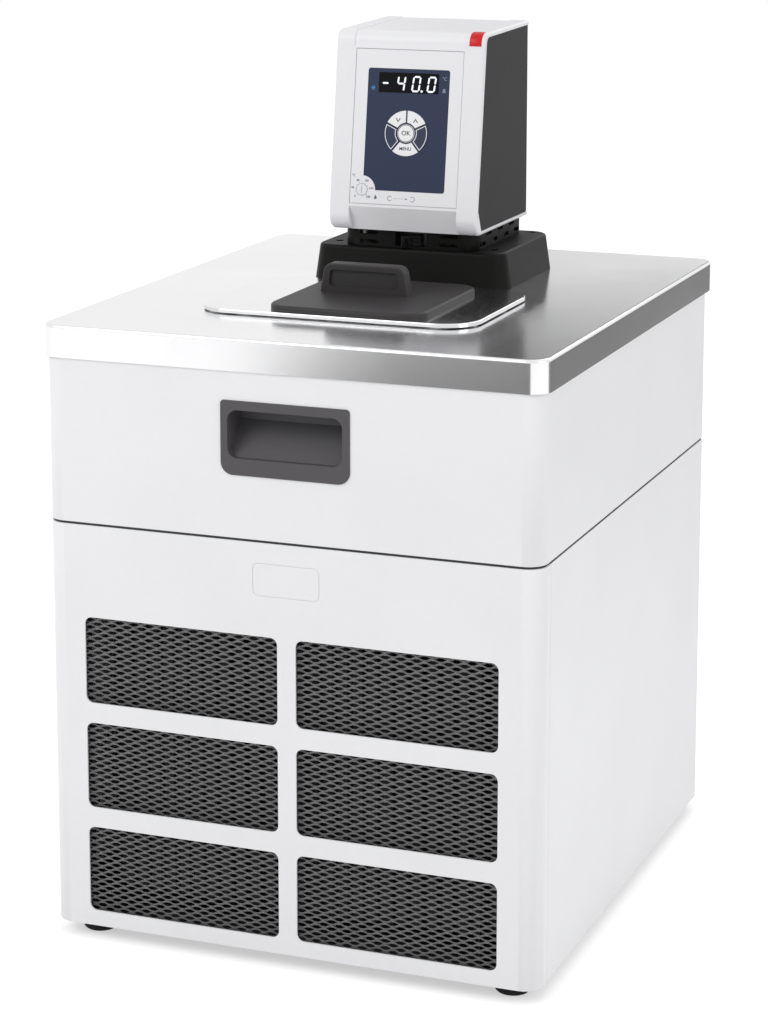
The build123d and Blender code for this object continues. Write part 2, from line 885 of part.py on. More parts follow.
# Bath cover: raised steel sheet with a turned-down rim, pads under it and a collar in the opening
lid_opening_width = lid_width - 2 * lid_overlap
lid_opening_length = lid_length - 2 * lid_overlap
lid_opening_corner = lid_corner - lid_overlap
collar_width = tank_width - 2 * collar_clearance
collar_length = bath_opening_length - 2 * collar_clearance
collar_corner = tank_corner - collar_clearance
with BuildPart() as bath_cover:
    with BuildSketch(Plane.XY.offset(cover_top - cover_rim)):
        with Locations((0, cover_y)):
            RectangleRounded(cover_width, cover_length, cover_corner)
    extrude(amount=cover_rim)
    fillet(bath_cover.faces().sort_by(Axis.Z)[-1].edges(), cover_thickness)
    with BuildSketch(Plane.XY.offset(cover_top - cover_rim)):
        with Locations((0, cover_y)):
            RectangleRounded(cover_width - 2 * cover_thickness, cover_length - 2 * cover_thickness,
                             cover_corner - cover_thickness)
    extrude(amount=cover_rim - cover_thickness, mode=Mode.SUBTRACT)
    with BuildSketch(Plane.XY.offset(plate_underside - collar_depth)):
        with Locations((0, cover_y)):
            RectangleRounded(collar_width, collar_length, collar_corner)
            RectangleRounded(collar_width - 2 * cover_thickness, collar_length - 2 * cover_thickness,
                             collar_corner - cover_thickness, mode=Mode.SUBTRACT)
    extrude(amount=cover_top - cover_thickness - plate_underside + collar_depth)
    with BuildSketch(Plane.XY.offset(plate_top)):
        with Locations((0, cover_y)):
            with GridLocations((cover_width + tank_width) / 2, bath_opening_length / 2, 2, 2):
                Circle(cover_pad_radius)
    extrude(amount=cover_rise - cover_thickness)
    with BuildSketch(Plane.XY.offset(cover_top - cover_thickness)):
        with Locations((lid_offset, lid_y)):
            RectangleRounded(lid_opening_width, lid_opening_length, lid_opening_corner)
    extrude(amount=cover_thickness, mode=Mode.SUBTRACT)
bath_cover.part.label = "bath_cover"
export_step(bath_cover.part, "parts/bath_cover.step")

# Bath lid: moulded plate with a lip below and an upright handle above
lid_top = cover_top + lid_thickness
handle_y = front + handle_front
field_foot = handle_half_foot - handle_field_inset
field_top = handle_half_top - handle_field_border
field_low = lid_top + handle_field_border
field_high = lid_top + handle_height - handle_field_border
with BuildPart() as handle:
    with BuildSketch(Plane.XZ.offset(-handle_y)) as grip_face:
        with BuildLine():
            Polyline((-handle_half_foot, lid_top), (handle_half_foot, lid_top),
                     (handle_half_top, lid_top + handle_height),
                     (-handle_half_top, lid_top + handle_height), close=True)
        make_face()
        fillet(grip_face.vertices().group_by(Axis.Y)[-1], handle_corner)
    extrude(amount=-handle_depth)
    fillet(handle.edges().filter_by(Axis.Y, reverse=True).group_by(Axis.Z)[1:], handle_edge)
with BuildPart() as bath_lid:
    with BuildSketch(Plane.XY.offset(cover_top)):
        with Locations((lid_offset, lid_y)):
            RectangleRounded(lid_width, lid_length, lid_corner)
    extrude(amount=lid_thickness)
    fillet(bath_lid.faces().sort_by(Axis.Z)[-1].edges(), lid_thickness / 2)
    with BuildSketch(Plane.XY.offset(cover_top - lip_depth)):
        with Locations((lid_offset, lid_y)):
            RectangleRounded(lid_opening_width - 2 * lip_clearance, lid_opening_length - 2 * lip_clearance,
                             lid_opening_corner - lip_clearance)
            RectangleRounded(lid_opening_width - 2 * lip_clearance - 2 * lip_width,
                             lid_opening_length - 2 * lip_clearance - 2 * lip_width,
                             lid_opening_corner - lip_clearance - lip_width, mode=Mode.SUBTRACT)
    extrude(amount=lip_depth)
    add(handle.part)
    for field_y, reach in ((handle_y, -handle_field_depth), (handle_y + handle_depth, handle_field_depth)):
        with BuildSketch(Plane.XZ.offset(-field_y)) as field:
            with BuildLine():
                Polyline((-field_foot, field_low), (field_foot, field_low), (field_top, field_high),
                         (-field_top, field_high), close=True)
            make_face()
            fillet(field.vertices(), handle_corner - handle_field_border)
        extrude(amount=reach, mode=Mode.SUBTRACT)
bath_lid.part.label = "bath_lid"
export_step(bath_lid.part, "parts/bath_lid.step")

# Places of what hangs from the bridge into the bath
riser_y = bridge_y + riser_reach
probe_y = bridge_y - probe_setback
stem_x = -probe_x
heater_y = bridge_y - heater_advance
lever_y = bridge_y - neck_length / 2 + lever_hub_setback
sockets = [((0, bridge_y), column_radius), ((0, riser_y), riser_radius),
           ((-heater_half_width, heater_y), heater_tube), ((heater_half_width, heater_y), heater_tube),
           ((probe_x, probe_y), probe_radius), ((stem_x, probe_y), stem_radius)]

# Bridge: drafted black moulding with screw wells, sockets inside and a pad for the hose ports
bridge_rear = bridge_y + bridge_length / 2
port_z = plate_top + port_height
with BuildPart() as bridge_base:
    with BuildSketch(Plane.XY.offset(plate_top)):
        with Locations((0, bridge_y)):
            RectangleRounded(bridge_width, bridge_length, bridge_corner)
    extrude(amount=bridge_height, taper=bridge_draft)
    fillet(bridge_base.faces().sort_by(Axis.Z)[-1].edges(), bridge_edge)
    with BuildSketch(Plane.XY.offset(plate_top)):
        with Locations((0, bridge_y)):
            RectangleRounded(bridge_width - 2 * bridge_wall, bridge_length - 2 * bridge_wall,
                             bridge_corner - bridge_wall)
    extrude(amount=bridge_height - bridge_wall, taper=bridge_draft, mode=Mode.SUBTRACT)
    with BuildSketch(Plane.XZ.offset(-bridge_rear)):
        with Locations((0, plate_top + port_pad_height / 2)):
            Rectangle(port_pad_width, port_pad_height)
    extrude(amount=2 * bridge_wall)
    with BuildSketch(Plane.XY.offset(plate_top)):
        with Locations(*bridge_screws):
            Circle(bridge_boss)
        for place, radius in sockets:
            with Locations(place):
                Circle(radius + socket_wall)
        with Locations((lever_hub_x, lever_y)):
            Circle(lever_spindle_radius + socket_wall)
    extrude(amount=bridge_height - bridge_wall)
    with BuildSketch(Plane.XY.offset(bridge_top)):
        with Locations(*bridge_screws):
            Circle(bridge_screw_well)
    extrude(amount=-(bridge_height - 2 * bridge_wall), mode=Mode.SUBTRACT)
    with BuildSketch(Plane.XY.offset(plate_top)):
        with Locations(*bridge_screws):
            Circle(screw_bore)
    extrude(amount=bridge_height, mode=Mode.SUBTRACT)
    with BuildSketch(Plane.XY.offset(bridge_top)):
        with Locations((0, bridge_y)):
            Circle(shaft_radius + bearing_clearance)
        with Locations((lever_hub_x, lever_y)):
            Circle(lever_spindle_radius + bearing_clearance)
    extrude(amount=-bridge_height, mode=Mode.SUBTRACT)
    with BuildSketch(Plane.XZ.offset(-bridge_rear)):
        with Locations((-port_spacing / 2, port_z), (port_spacing / 2, port_z)):
            Circle(port_radius + port_hole_clearance)
    extrude(amount=port_tail + bridge_wall, mode=Mode.SUBTRACT)
bridge_base.part.label = "bridge_base"
export_step(bridge_base.part, "parts/bridge_base.step")

# Neck: thin wall between bridge and head with two staggered rows of air slots
side_slots = [(neck_side_pitch * (step - 1.5), neck_lower_slot) for step in range(4)]
side_slots += [(neck_side_pitch * (step - 1), neck_upper_slot) for step in range(3)]
neck_front = bridge_y - neck_length / 2
with BuildPart() as vent_neck:
    with BuildSketch(Plane.XY.offset(bridge_top)):
        with Locations((0, bridge_y)):
            RectangleRounded(neck_width, neck_length, neck_corner)
            RectangleRounded(neck_width - 2 * neck_wall, neck_length - 2 * neck_wall, neck_corner - neck_wall,
                             mode=Mode.SUBTRACT)
    extrude(amount=neck_height)
    with BuildSketch(Plane.XZ.offset(-(neck_front + neck_length))):
        for slot_height in (neck_lower_slot, neck_upper_slot):
            with Locations((-neck_slot_x, bridge_top + slot_height), (neck_slot_x, bridge_top + slot_height)):
                Rectangle(neck_slot_width, neck_slot_height)
    extrude(amount=neck_length, mode=Mode.SUBTRACT)
    with BuildSketch(Plane.YZ.offset(-neck_width / 2)):
        for slot_y, slot_height in side_slots:
            with Locations((bridge_y + slot_y, bridge_top + slot_height)):
                Rectangle(neck_side_slot, neck_slot_height)
    extrude(amount=neck_width, mode=Mode.SUBTRACT)
    with BuildSketch(Plane.XZ.offset(-(neck_front + 2 * neck_wall))):
        with Locations(((lever_window_left + lever_window_right) / 2, bridge_top + neck_height / 2)):
            Rectangle(lever_window_right - lever_window_left, neck_height - 2 * lever_window_sill)
    extrude(amount=3 * neck_wall, mode=Mode.SUBTRACT)
vent_neck.part.label = "vent_neck"
export_step(vent_neck.part, "parts/vent_neck.step")

# Flow lever: ringed hub on a spindle in the bridge, with an arm that ends in an upright post
hub_low = lever_window_sill + lever_hub_gap
arm_length = math.hypot(lever_post_x, lever_post_y)
arm_angle = math.degrees(math.atan2(lever_post_y, lever_post_x))
with BuildPart() as flow_lever:
    with BuildSketch(Plane.XY.offset(bridge_top + hub_low)):
        with Locations((lever_hub_x, lever_y)):
            Circle(lever_hub_radius)
    extrude(amount=lever_hub_top - hub_low)
    with BuildSketch(Plane.XZ.offset(-lever_y)):
        for ring in (lever_ring_low, lever_ring_high):
            with Locations((lever_hub_x + lever_hub_radius, bridge_top + ring)):
                Rectangle(2 * lever_ring_depth, lever_ring_width)
    revolve(axis=Axis((lever_hub_x, lever_y, 0), (0, 0, 1)), mode=Mode.SUBTRACT)
    with BuildSketch(Plane.XY.offset(bridge_top - lever_spindle_length)):
        with Locations((lever_hub_x, lever_y)):
            Circle(lever_spindle_radius)
    extrude(amount=lever_spindle_length + hub_low)
    with BuildSketch(Plane.XY.offset(bridge_top + lever_hub_top - lever_post_rise)):
        with Locations((lever_hub_x + lever_post_x / 2, lever_y + lever_post_y / 2)):
            SlotCenterToCenter(arm_length, lever_post_width, rotation=arm_angle)
    extrude(amount=lever_post_rise)
    with BuildSketch(Plane.XY.offset(bridge_top + lever_post_drop / 2)):
        with Locations((lever_hub_x + lever_post_x, lever_y + lever_post_y)):
            Circle(lever_post_width / 2)
    extrude(amount=lever_hub_top - lever_post_drop / 2)
flow_lever.part.label = "flow_lever"
export_step(flow_lever.part, "parts/flow_lever.step")

roof_slope = head_roof_fall / (head_front_reach + head_rear_reach)


def head_profile(inset, has_chin, back):
    """Side outline of the head, moved in by inset. Drawn with Y along X and Z along Y."""
    low = head_bottom + inset
    front_shift = inset / math.cos(lean)
    roof_drop = inset * math.sqrt(1 + roof_slope ** 2)

    def front_at(height):
        return fascia_foot_y + (height - fascia_foot_z) * math.tan(lean) + front_shift

    def roof_at(place):
        return head_top - (head_rear - place) * roof_slope - roof_drop

    brow_z = (roof_at(front_at(0))) / (1 - roof_slope * math.tan(lean))
    chin_z = head_bottom + chin_top
    chin_start = (front_at(chin_z) - front_shift, chin_z)
    chin_end = (chin_start[0] + chin_setback - (chin_z - head_bottom) * math.tan(lean), head_bottom)
    chin_run = (chin_end[0] - chin_start[0], chin_end[1] - chin_start[1])
    chin_size = math.hypot(*chin_run)
    shift = (-chin_run[1] / chin_size * inset, chin_run[0] / chin_size * inset)
    far_up = (chin_start[0] + shift[0] - chin_cut_reach * chin_run[0],
              chin_start[1] + shift[1] - chin_cut_reach * chin_run[1])
    far_down = (chin_end[0] + shift[0] + chin_cut_reach * chin_run[0],
                chin_end[1] + shift[1] + chin_cut_reach * chin_run[1])
    cut_front = far_up[0] - head_height
    with BuildSketch() as profile:
        with BuildLine():
            Polyline((back, low), (front_at(low), low), (front_at(brow_z), brow_z), (back, roof_at(back)),
                     close=True)
        make_face()
        fillet(profile.vertices().group_by(Axis.Y)[0].sort_by(Axis.X)[0], head_foot_radius - inset)
        fillet(profile.vertices().sort_by_distance((front_at(brow_z), brow_z))[0], head_top_radius - inset)
        if has_chin:
            with BuildLine():
                Polyline(far_up, far_down, (cut_front, far_down[1]), (cut_front, far_up[1]), close=True)
            make_face(mode=Mode.SUBTRACT)
    return profile.sketch


fascia_plane = Plane(origin=(0, fascia_foot_y, fascia_foot_z), x_dir=(1, 0, 0),
                     z_dir=(0, -math.cos(lean), math.sin(lean)))
half_head = head_width / 2
half_fascia = fascia_width / 2
outer_profile = head_profile(0, False, head_rear)
chin_profile = head_profile(0, True, head_rear)
inner_profile = head_profile(head_wall, True, head_rear + head_wall)
band_profile = head_profile(band_depth, False, head_rear + head_wall)
brow_z = fascia_foot_z + fascia_height * math.cos(lean)
brow_y = fascia_foot_y + fascia_height * math.sin(lean)

# Status light: red strip let into the head's front edge
light_outer = head_profile(-light_proud, False, head_rear)
light_inner = head_profile(light_thickness, False, head_rear)
light_low = head_bottom + light_foot
light_y = fascia_foot_y + (light_low - fascia_foot_z) * math.tan(lean)
with BuildPart() as status_light:
    with BuildSketch(Plane.YZ.offset(light_left)):
        add(light_outer)
        add(light_inner, mode=Mode.SUBTRACT)
        with Locations((light_y + light_thickness, light_low)):
            Rectangle(light_length / 2, light_length, align=(Align.CENTER, Align.MIN), mode=Mode.INTERSECT)
    extrude(amount=light_width)
status_light.part.label = "status_light"
export_step(status_light.part, "parts/status_light.step")

# Head frame: light C-shaped moulding that makes the head's front, roof and floor
with BuildPart() as head_frame:
    with BuildSketch(Plane.YZ):
        add(outer_profile)
    extrude(amount=half_head, both=True)
    side_edges = head_frame.faces().filter_by(Axis.X).edges()
    fillet(side_edges.filter_by(lambda edge: edge.center().Y < head_rear - head_wall), head_edge)
    with BuildSketch(Plane.YZ):
        add(outer_profile)
        add(chin_profile, mode=Mode.SUBTRACT)
    extrude(amount=half_fascia, both=True, mode=Mode.SUBTRACT)
    with BuildSketch(Plane.YZ):
        add(outer_profile)
        add(band_profile, mode=Mode.SUBTRACT)
        with Locations((brow_y, brow_z + band_gap)):
            Rectangle(3 * head_width, head_width, align=(Align.CENTER, Align.MIN), mode=Mode.INTERSECT)
    extrude(amount=band_width / 2, both=True, mode=Mode.SUBTRACT)
    with BuildSketch(Plane.YZ):
        add(inner_profile)
    extrude(amount=half_head, both=True, mode=Mode.SUBTRACT)
    with BuildSketch(fascia_plane):
        with Locations((0, fascia_height / 2)):
            Rectangle(fascia_width, fascia_height)
    extrude(amount=-(fascia_sink + fascia_thickness), mode=Mode.SUBTRACT)
    with BuildSketch(fascia_plane):
        with Locations((0, fascia_height / 2)):
            Rectangle(fascia_width - 2 * fascia_ledge, fascia_height - 2 * fascia_ledge)
    extrude(amount=-2 * head_wall, mode=Mode.SUBTRACT)
    with BuildSketch(Plane.XY.offset(head_bottom)):
        with Locations((0, bridge_y)):
            Circle(motor_mouth_radius)
    extrude(amount=head_wall, mode=Mode.SUBTRACT)
    with BuildSketch(Plane.YZ.offset(light_left - light_gap)):
        add(light_outer)
        add(light_inner, mode=Mode.SUBTRACT)
        with Locations((light_y + light_thickness, light_low - light_gap)):
            Rectangle(light_length / 2 + 2 * light_gap, light_length, align=(Align.CENTER, Align.MIN),
                      mode=Mode.INTERSECT)
    extrude(amount=light_width + 2 * light_gap, mode=Mode.SUBTRACT)
head_frame.part.label = "head_frame"
export_step(head_frame.part, "parts/head_frame.step")

# Head housing: dark moulding with the two side walls and the back wall, held in the frame
half_housing = half_head - housing_inset
housing_profile = head_profile(head_wall + housing_clearance, True, head_rear)
housing_space = head_profile(head_wall + housing_clearance - housing_run_out, True, head_rear - housing_wall)
slot_middle = head_bottom + head_slot_bottom + (head_slot_count - 1) * head_slot_pitch / 2
with BuildPart() as head_housing:
    with BuildSketch(Plane.YZ):
        add(housing_profile)
    extrude(amount=half_housing, both=True)
    with BuildSketch(Plane.YZ):
        add(housing_space)
    extrude(amount=half_housing - housing_wall, both=True, mode=Mode.SUBTRACT)
    with BuildSketch(Plane.XZ.offset(-head_rear)):
        with Locations((0, slot_middle)):
            with GridLocations(head_slot_width, head_slot_pitch, 1, head_slot_count):
                Rectangle(head_slot_width, head_slot_height)
    extrude(amount=housing_wall, mode=Mode.SUBTRACT)
head_housing.part.label = "head_housing"
export_step(head_housing.part, "parts/head_housing.step")


def key_plan(start, end, grow):
    """Ring-shaped key between two angles, grown on every side."""
    middle_angle = math.radians((start + end) / 2)
    half_angle = math.radians((end - start) / 2)
    apex = (key_rib / 2 - grow) / math.sin(half_angle)
    tip = (apex * math.cos(middle_angle), apex * math.sin(middle_angle))
    corners = [tip]
    for angle in (middle_angle - half_angle, middle_angle, middle_angle + half_angle):
        corners.append((tip[0] + key_cut_reach * math.cos(angle), tip[1] + key_cut_reach * math.sin(angle)))
    with BuildSketch() as plan:
        Circle(key_outer + grow)
        Circle(key_inner - grow, mode=Mode.SUBTRACT)
        Polygon(*corners, align=None, mode=Mode.INTERSECT)
    return plan.sketch


key_angles = {"key_up": (arrow_key_start, arrow_key_end),
              "key_down": (180 - arrow_key_end, 180 - arrow_key_start),
              "key_left": (180 - arrow_key_start, 180 - side_key_end),
              "key_menu": (180 - side_key_end, 360 + side_key_end),
              "key_right": (side_key_end, arrow_key_start)}
keypad_plane = fascia_plane.shift_origin(fascia_plane.origin + fascia_plane.y_dir * keypad_height)
screen_face = -fascia_sink
screen_back = screen_face - screen_thickness
fascia_back = screen_face - fascia_thickness
key_front = screen_face + key_proud
key_back = key_front - key_depth
display_middle = ((display_left + display_right) / 2, (display_bottom + display_top) / 2)
display_size = (display_right - display_left, display_top - display_bottom)


def screen_plan(grow):
    """Outline of the blue screen with the round notch that clears the dial's scale."""
    with BuildSketch() as plan:
        with Locations((0, (screen_bottom + screen_top) / 2)):
            RectangleRounded(screen_width + 2 * grow, screen_top - screen_bottom + 2 * grow,
                             screen_corner + grow)
        with Locations((dial_x, dial_height)):
            Circle(screen_notch - grow, mode=Mode.SUBTRACT)
    return plan.sketch


def keypad_holes(grow):
    """The six key openings, drawn about the keypad's middle."""
    with BuildSketch() as plan:
        Circle(ok_radius + grow)
        for start, end in key_angles.values():
            add(key_plan(start, end, grow))
    return plan.sketch


screen_outline = screen_plan(0)
screen_seat = screen_plan(fascia_gap)
key_holes = keypad_holes(key_gap)
board_posts = [(side * standoff_x, height) for side in (-1, 1) for height in (standoff_low, standoff_high)]

# Fascia: light plate let into the frame, with the screen's seat, the key openings and four posts
with BuildPart() as fascia:
    with BuildSketch(fascia_plane.offset(fascia_back)):
        with Locations((0, fascia_height / 2)):
            Rectangle(fascia_width - 2 * fascia_gap, fascia_height - 2 * fascia_gap)
    extrude(amount=fascia_thickness)
    with BuildSketch(fascia_plane.offset(-board_depth)):
        with Locations(*board_posts):
            Circle(standoff_radius)
    extrude(amount=board_depth + fascia_back)
    with BuildSketch(fascia_plane.offset(screen_back)):
        add(screen_seat)
    extrude(amount=2 * screen_thickness, mode=Mode.SUBTRACT)
    with BuildSketch(fascia_plane.offset(fascia_back)):
        with Locations(display_middle):
            Rectangle(display_size[0] + 2 * display_gap, display_size[1] + 2 * display_gap)
        with Locations((dial_x, dial_height)):
            Circle(dial_radius + dial_bore_clearance)
    extrude(amount=2 * fascia_thickness, mode=Mode.SUBTRACT)
    with BuildSketch(keypad_plane.offset(fascia_back)):
        add(key_holes)
    extrude(amount=2 * fascia_thickness, mode=Mode.SUBTRACT)
fascia.part.label = "fascia"
export_step(fascia.part, "parts/fascia.step")

# Screen: blue plate that lies in the fascia
with BuildPart() as screen:
    with BuildSketch(fascia_plane.offset(screen_back)):
        add(screen_outline)
        with Locations(display_middle):
            Rectangle(display_size[0] + 2 * display_gap, display_size[1] + 2 * display_gap,
                      mode=Mode.SUBTRACT)
    extrude(amount=screen_thickness)
    with BuildSketch(keypad_plane.offset(screen_back)):
        add(key_holes)
    extrude(amount=screen_thickness, mode=Mode.SUBTRACT)
screen.part.label = "screen"
export_step(screen.part, "parts/screen.step")

# Display: number block that stands on the board and shows through the screen
with BuildPart() as display:
    with BuildSketch(fascia_plane.offset(-board_depth)):
        with Locations(display_middle):
            Rectangle(*display_size)
    extrude(amount=board_depth - fascia_sink)
display.part.label = "display"
export_step(display.part, "parts/display.step")

# Keys: one round and five ring-shaped
with BuildPart() as key_ok:
    with BuildSketch(keypad_plane.offset(key_back)):
        Circle(ok_radius)
    extrude(amount=key_depth)
key_ok.part.label = "key_ok"
export_step(key_ok.part, "parts/key_ok.step")

for label, (start, end) in key_angles.items():
    outline = key_plan(start, end, 0)
    with BuildPart() as key:
        with BuildSketch(keypad_plane.offset(key_back)):
            add(outline)
        extrude(amount=key_depth)
    key.part.label = label
    export_step(key.part, f"parts/{label}.step")

# Cut-off dial: slotted disc flush with the fascia
dial_plane = fascia_plane.shift_origin(fascia_plane.origin + fascia_plane.x_dir * dial_x
                                       + fascia_plane.y_dir * dial_height)
dial_front = screen_face + dial_proud
dial_back = switch_size - board_depth + switch_slack
with BuildPart() as cutoff_dial:
    with BuildSketch(dial_plane.offset(dial_back)):
        Circle(dial_radius)
    extrude(amount=dial_front - dial_back)
    with BuildSketch(dial_plane.offset(dial_front)):
        Rectangle(dial_slot_width, dial_slot_length)
    extrude(amount=-dial_slot_depth, mode=Mode.SUBTRACT)
cutoff_dial.part.label = "cutoff_dial"
export_step(cutoff_dial.part, "parts/cutoff_dial.step")

# Board: carries the display, a switch behind each key and the dial's potentiometer
switch_top = key_back - key_travel - switch_slack
key_ring = (key_inner + key_outer) / 2
switch_places = [(0, 0)]
for start, end in key_angles.values():
    angle = math.radians((start + end) / 2)
    switch_places.append((key_ring * math.cos(angle), key_ring * math.sin(angle)))
board_height = fascia_height - 2 * board_margin
with BuildPart() as display_board:
    with BuildSketch(fascia_plane.offset(-board_depth)):
        with Locations((0, fascia_height / 2)):
            Rectangle(fascia_width - 2 * board_margin, board_height)
    extrude(amount=-board_thickness)
    with BuildSketch(keypad_plane.offset(-board_depth)):
        with Locations(*switch_places):
            Rectangle(switch_size, switch_size)
    extrude(amount=board_depth + switch_top)
    with BuildSketch(dial_plane.offset(-board_depth)):
        Rectangle(trimmer_size, trimmer_size)
    extrude(amount=switch_size)
display_board.part.label = "display_board"
export_step(display_board.part, "parts/display_board.step")

# Pump motor: can with end bells, standing on the head's floor, open along its shaft
motor_foot = head_bottom + head_wall
motor_body_top = motor_foot + motor_bell_height + motor_height
with BuildPart() as pump_motor:
    with BuildSketch(Plane.XY.offset(motor_foot)):
        with Locations((0, bridge_y)):
            Circle(motor_bell_radius)
    extrude(amount=motor_height + 2 * motor_bell_height)
    with BuildSketch(Plane.XY.offset(motor_foot + motor_bell_height)):
        with Locations((0, bridge_y)):
            Circle(motor_radius)
    extrude(amount=motor_height)
    with BuildSketch(Plane.XY.offset(motor_foot)):
        with Locations((0, bridge_y)):
            Circle(shaft_radius + bearing_clearance)
    extrude(amount=motor_height + 2 * motor_bell_height, mode=Mode.SUBTRACT)
pump_motor.part.label = "pump_motor"
export_step(pump_motor.part, "parts/pump_motor.step")

# Pump housing: chamber near the tank's floor, column round the shaft and riser to the hose ports
pump_low = tank_floor + pump_bottom_gap
pump_top = pump_low + pump_height
chamber_radius = pump_radius - pump_wall
with BuildPart() as pump_housing:
    with BuildSketch(Plane.XY.offset(pump_low)):
        with Locations((0, bridge_y)):
            Circle(pump_radius)
    extrude(amount=pump_height)
    with BuildSketch(Plane.XY.offset(pump_low + pump_wall)):
        with Locations((0, bridge_y + riser_reach / 2)):
            Rectangle(2 * riser_radius, riser_reach)
    extrude(amount=pump_height - pump_wall)
    with BuildSketch(Plane.XY.offset(pump_low + pump_wall)):
        with Locations((0, riser_y)):
            Circle(riser_radius)
    extrude(amount=plate_top - pump_low - pump_wall)
    with BuildSketch(Plane.XY.offset(pump_top)):
        with Locations((0, bridge_y)):
            Circle(column_radius)
    extrude(amount=plate_top - pump_top)
    with BuildSketch(Plane.XY.offset(pump_low + pump_wall)):
        with Locations((0, bridge_y)):
            Circle(chamber_radius)
    extrude(amount=pump_height - 2 * pump_wall, mode=Mode.SUBTRACT)
    with BuildSketch(Plane.XY.offset(pump_low)):
        with Locations((0, bridge_y)):
            Circle(pump_inlet_radius)
    extrude(amount=pump_wall, mode=Mode.SUBTRACT)
    with BuildSketch(Plane.XY.offset(pump_top - pump_wall)):
        with Locations((0, bridge_y)):
            Circle(shaft_radius + bearing_clearance)
    extrude(amount=2 * pump_wall, mode=Mode.SUBTRACT)
    with BuildSketch(Plane.XY.offset(pump_top + pump_wall)):
        with Locations((0, bridge_y)):
            Circle(column_bore)
    extrude(amount=plate_top - pump_top, mode=Mode.SUBTRACT)
    with BuildSketch(Plane.XY.offset(pump_low + 2 * pump_wall)):
        with Locations((0, riser_y)):
            Circle(riser_bore)
    extrude(amount=plate_top - pump_low, mode=Mode.SUBTRACT)
    with BuildSketch(Plane.XZ.offset(-riser_y)):
        with Locations((0, (pump_low + pump_top) / 2)):
            Circle(riser_bore)
    extrude(amount=riser_reach - pump_wall, mode=Mode.SUBTRACT)
pump_housing.part.label = "pump_housing"
export_step(pump_housing.part, "parts/pump_housing.step")

# Pump rotor: long shaft from the motor down to an impeller with leaning vanes
impeller_radius = chamber_radius - impeller_clearance
impeller_low = pump_low + (pump_height - impeller_disc - vane_height) / 2
with BuildPart(Plane.XY.offset(impeller_low).shift_origin((0, bridge_y, impeller_low))) as pump_rotor:
    Cylinder(impeller_radius, impeller_disc, align=(Align.CENTER, Align.CENTER, Align.MIN))
    with PolarLocations((impeller_radius + shaft_radius) / 2, vane_count):
        Box(impeller_radius - 2 * shaft_radius, vane_thickness, impeller_disc + vane_height,
            rotation=(0, 0, vane_lean), align=(Align.CENTER, Align.CENTER, Align.MIN))
    Cylinder(2 * shaft_radius, impeller_disc + vane_height, align=(Align.CENTER, Align.CENTER, Align.MIN))
    Cylinder(shaft_radius, motor_body_top - impeller_low, align=(Align.CENTER, Align.CENTER, Align.MIN))
pump_rotor.part.label = "pump_rotor"
export_step(pump_rotor.part, "parts/pump_rotor.step")

# Heater: bent tube that hangs from the bridge in front of the pump
heater_low = plate_top - heater_depth
with BuildPart() as heater:
    with BuildLine() as heater_path:
        FilletPolyline((-heater_half_width, heater_y, plate_top), (-heater_half_width, heater_y, heater_low),
                       (heater_half_width, heater_y, heater_low), (heater_half_width, heater_y, plate_top),
                       radius=heater_bend)
    with BuildSketch(Plane(origin=heater_path.line @ 0, z_dir=heater_path.line % 0)):
        Circle(heater_tube)
    sweep()
heater.part.label = "heater"
export_step(heater.part, "parts/heater.step")

# Temperature probe
with BuildPart() as temperature_probe:
    with BuildSketch(Plane.XY.offset(plate_top)):
        with Locations((probe_x, probe_y)):
            Circle(probe_radius)
    extrude(amount=-probe_length)
    fillet(temperature_probe.faces().sort_by(Axis.Z)[0].edges(), probe_radius / 2)
temperature_probe.part.label = "temperature_probe"
export_step(temperature_probe.part, "parts/temperature_probe.step")

# Level sensor: stem with a collar that stops the float
stem_low = plate_top - stem_length
with BuildPart() as float_stem:
    with BuildSketch(Plane.XY.offset(stem_low)):
        with Locations((stem_x, probe_y)):
            Circle(stem_collar)
    extrude(amount=stem_collar_height)
    with BuildSketch(Plane.XY.offset(stem_low)):
        with Locations((stem_x, probe_y)):
            Circle(stem_radius)
    extrude(amount=stem_length)
float_stem.part.label = "float_stem"
export_step(float_stem.part, "parts/float_stem.step")

with BuildPart() as level_float:
    with BuildSketch(Plane.XY.offset(stem_low + stem_collar_height + float_rest_gap)):
        with Locations((stem_x, probe_y)):
            Circle(float_radius)
            Circle(stem_radius + float_clearance, mode=Mode.SUBTRACT)
    extrude(amount=float_height)
level_float.part.label = "level_float"
export_step(level_float.part, "parts/level_float.step")

# Hose ports: two threaded nipples with flanges against the bridge's back pad
with BuildPart() as hose_ports:
    for side in (-1, 1):
        with BuildSketch(Plane.XZ.offset(-bridge_rear)):
            with Locations((side * port_spacing / 2, port_z)):
                RegularPolygon(port_flange_radius, 6)
        extrude(amount=-port_flange)
        with BuildSketch(Plane.XZ.offset(-(bridge_rear - port_tail))):
            with Locations((side * port_spacing / 2, port_z)):
                Circle(port_radius)
        extrude(amount=-(port_tail + port_flange + port_length))
        with BuildSketch(Plane.XZ.offset(-(bridge_rear - port_tail))):
            with Locations((side * port_spacing / 2, port_z)):
                Circle(port_bore)
        extrude(amount=-(port_tail + port_flange + port_length), mode=Mode.SUBTRACT)
hose_ports.part.label = "hose_ports"
export_step(hose_ports.part, "parts/hose_ports.step")

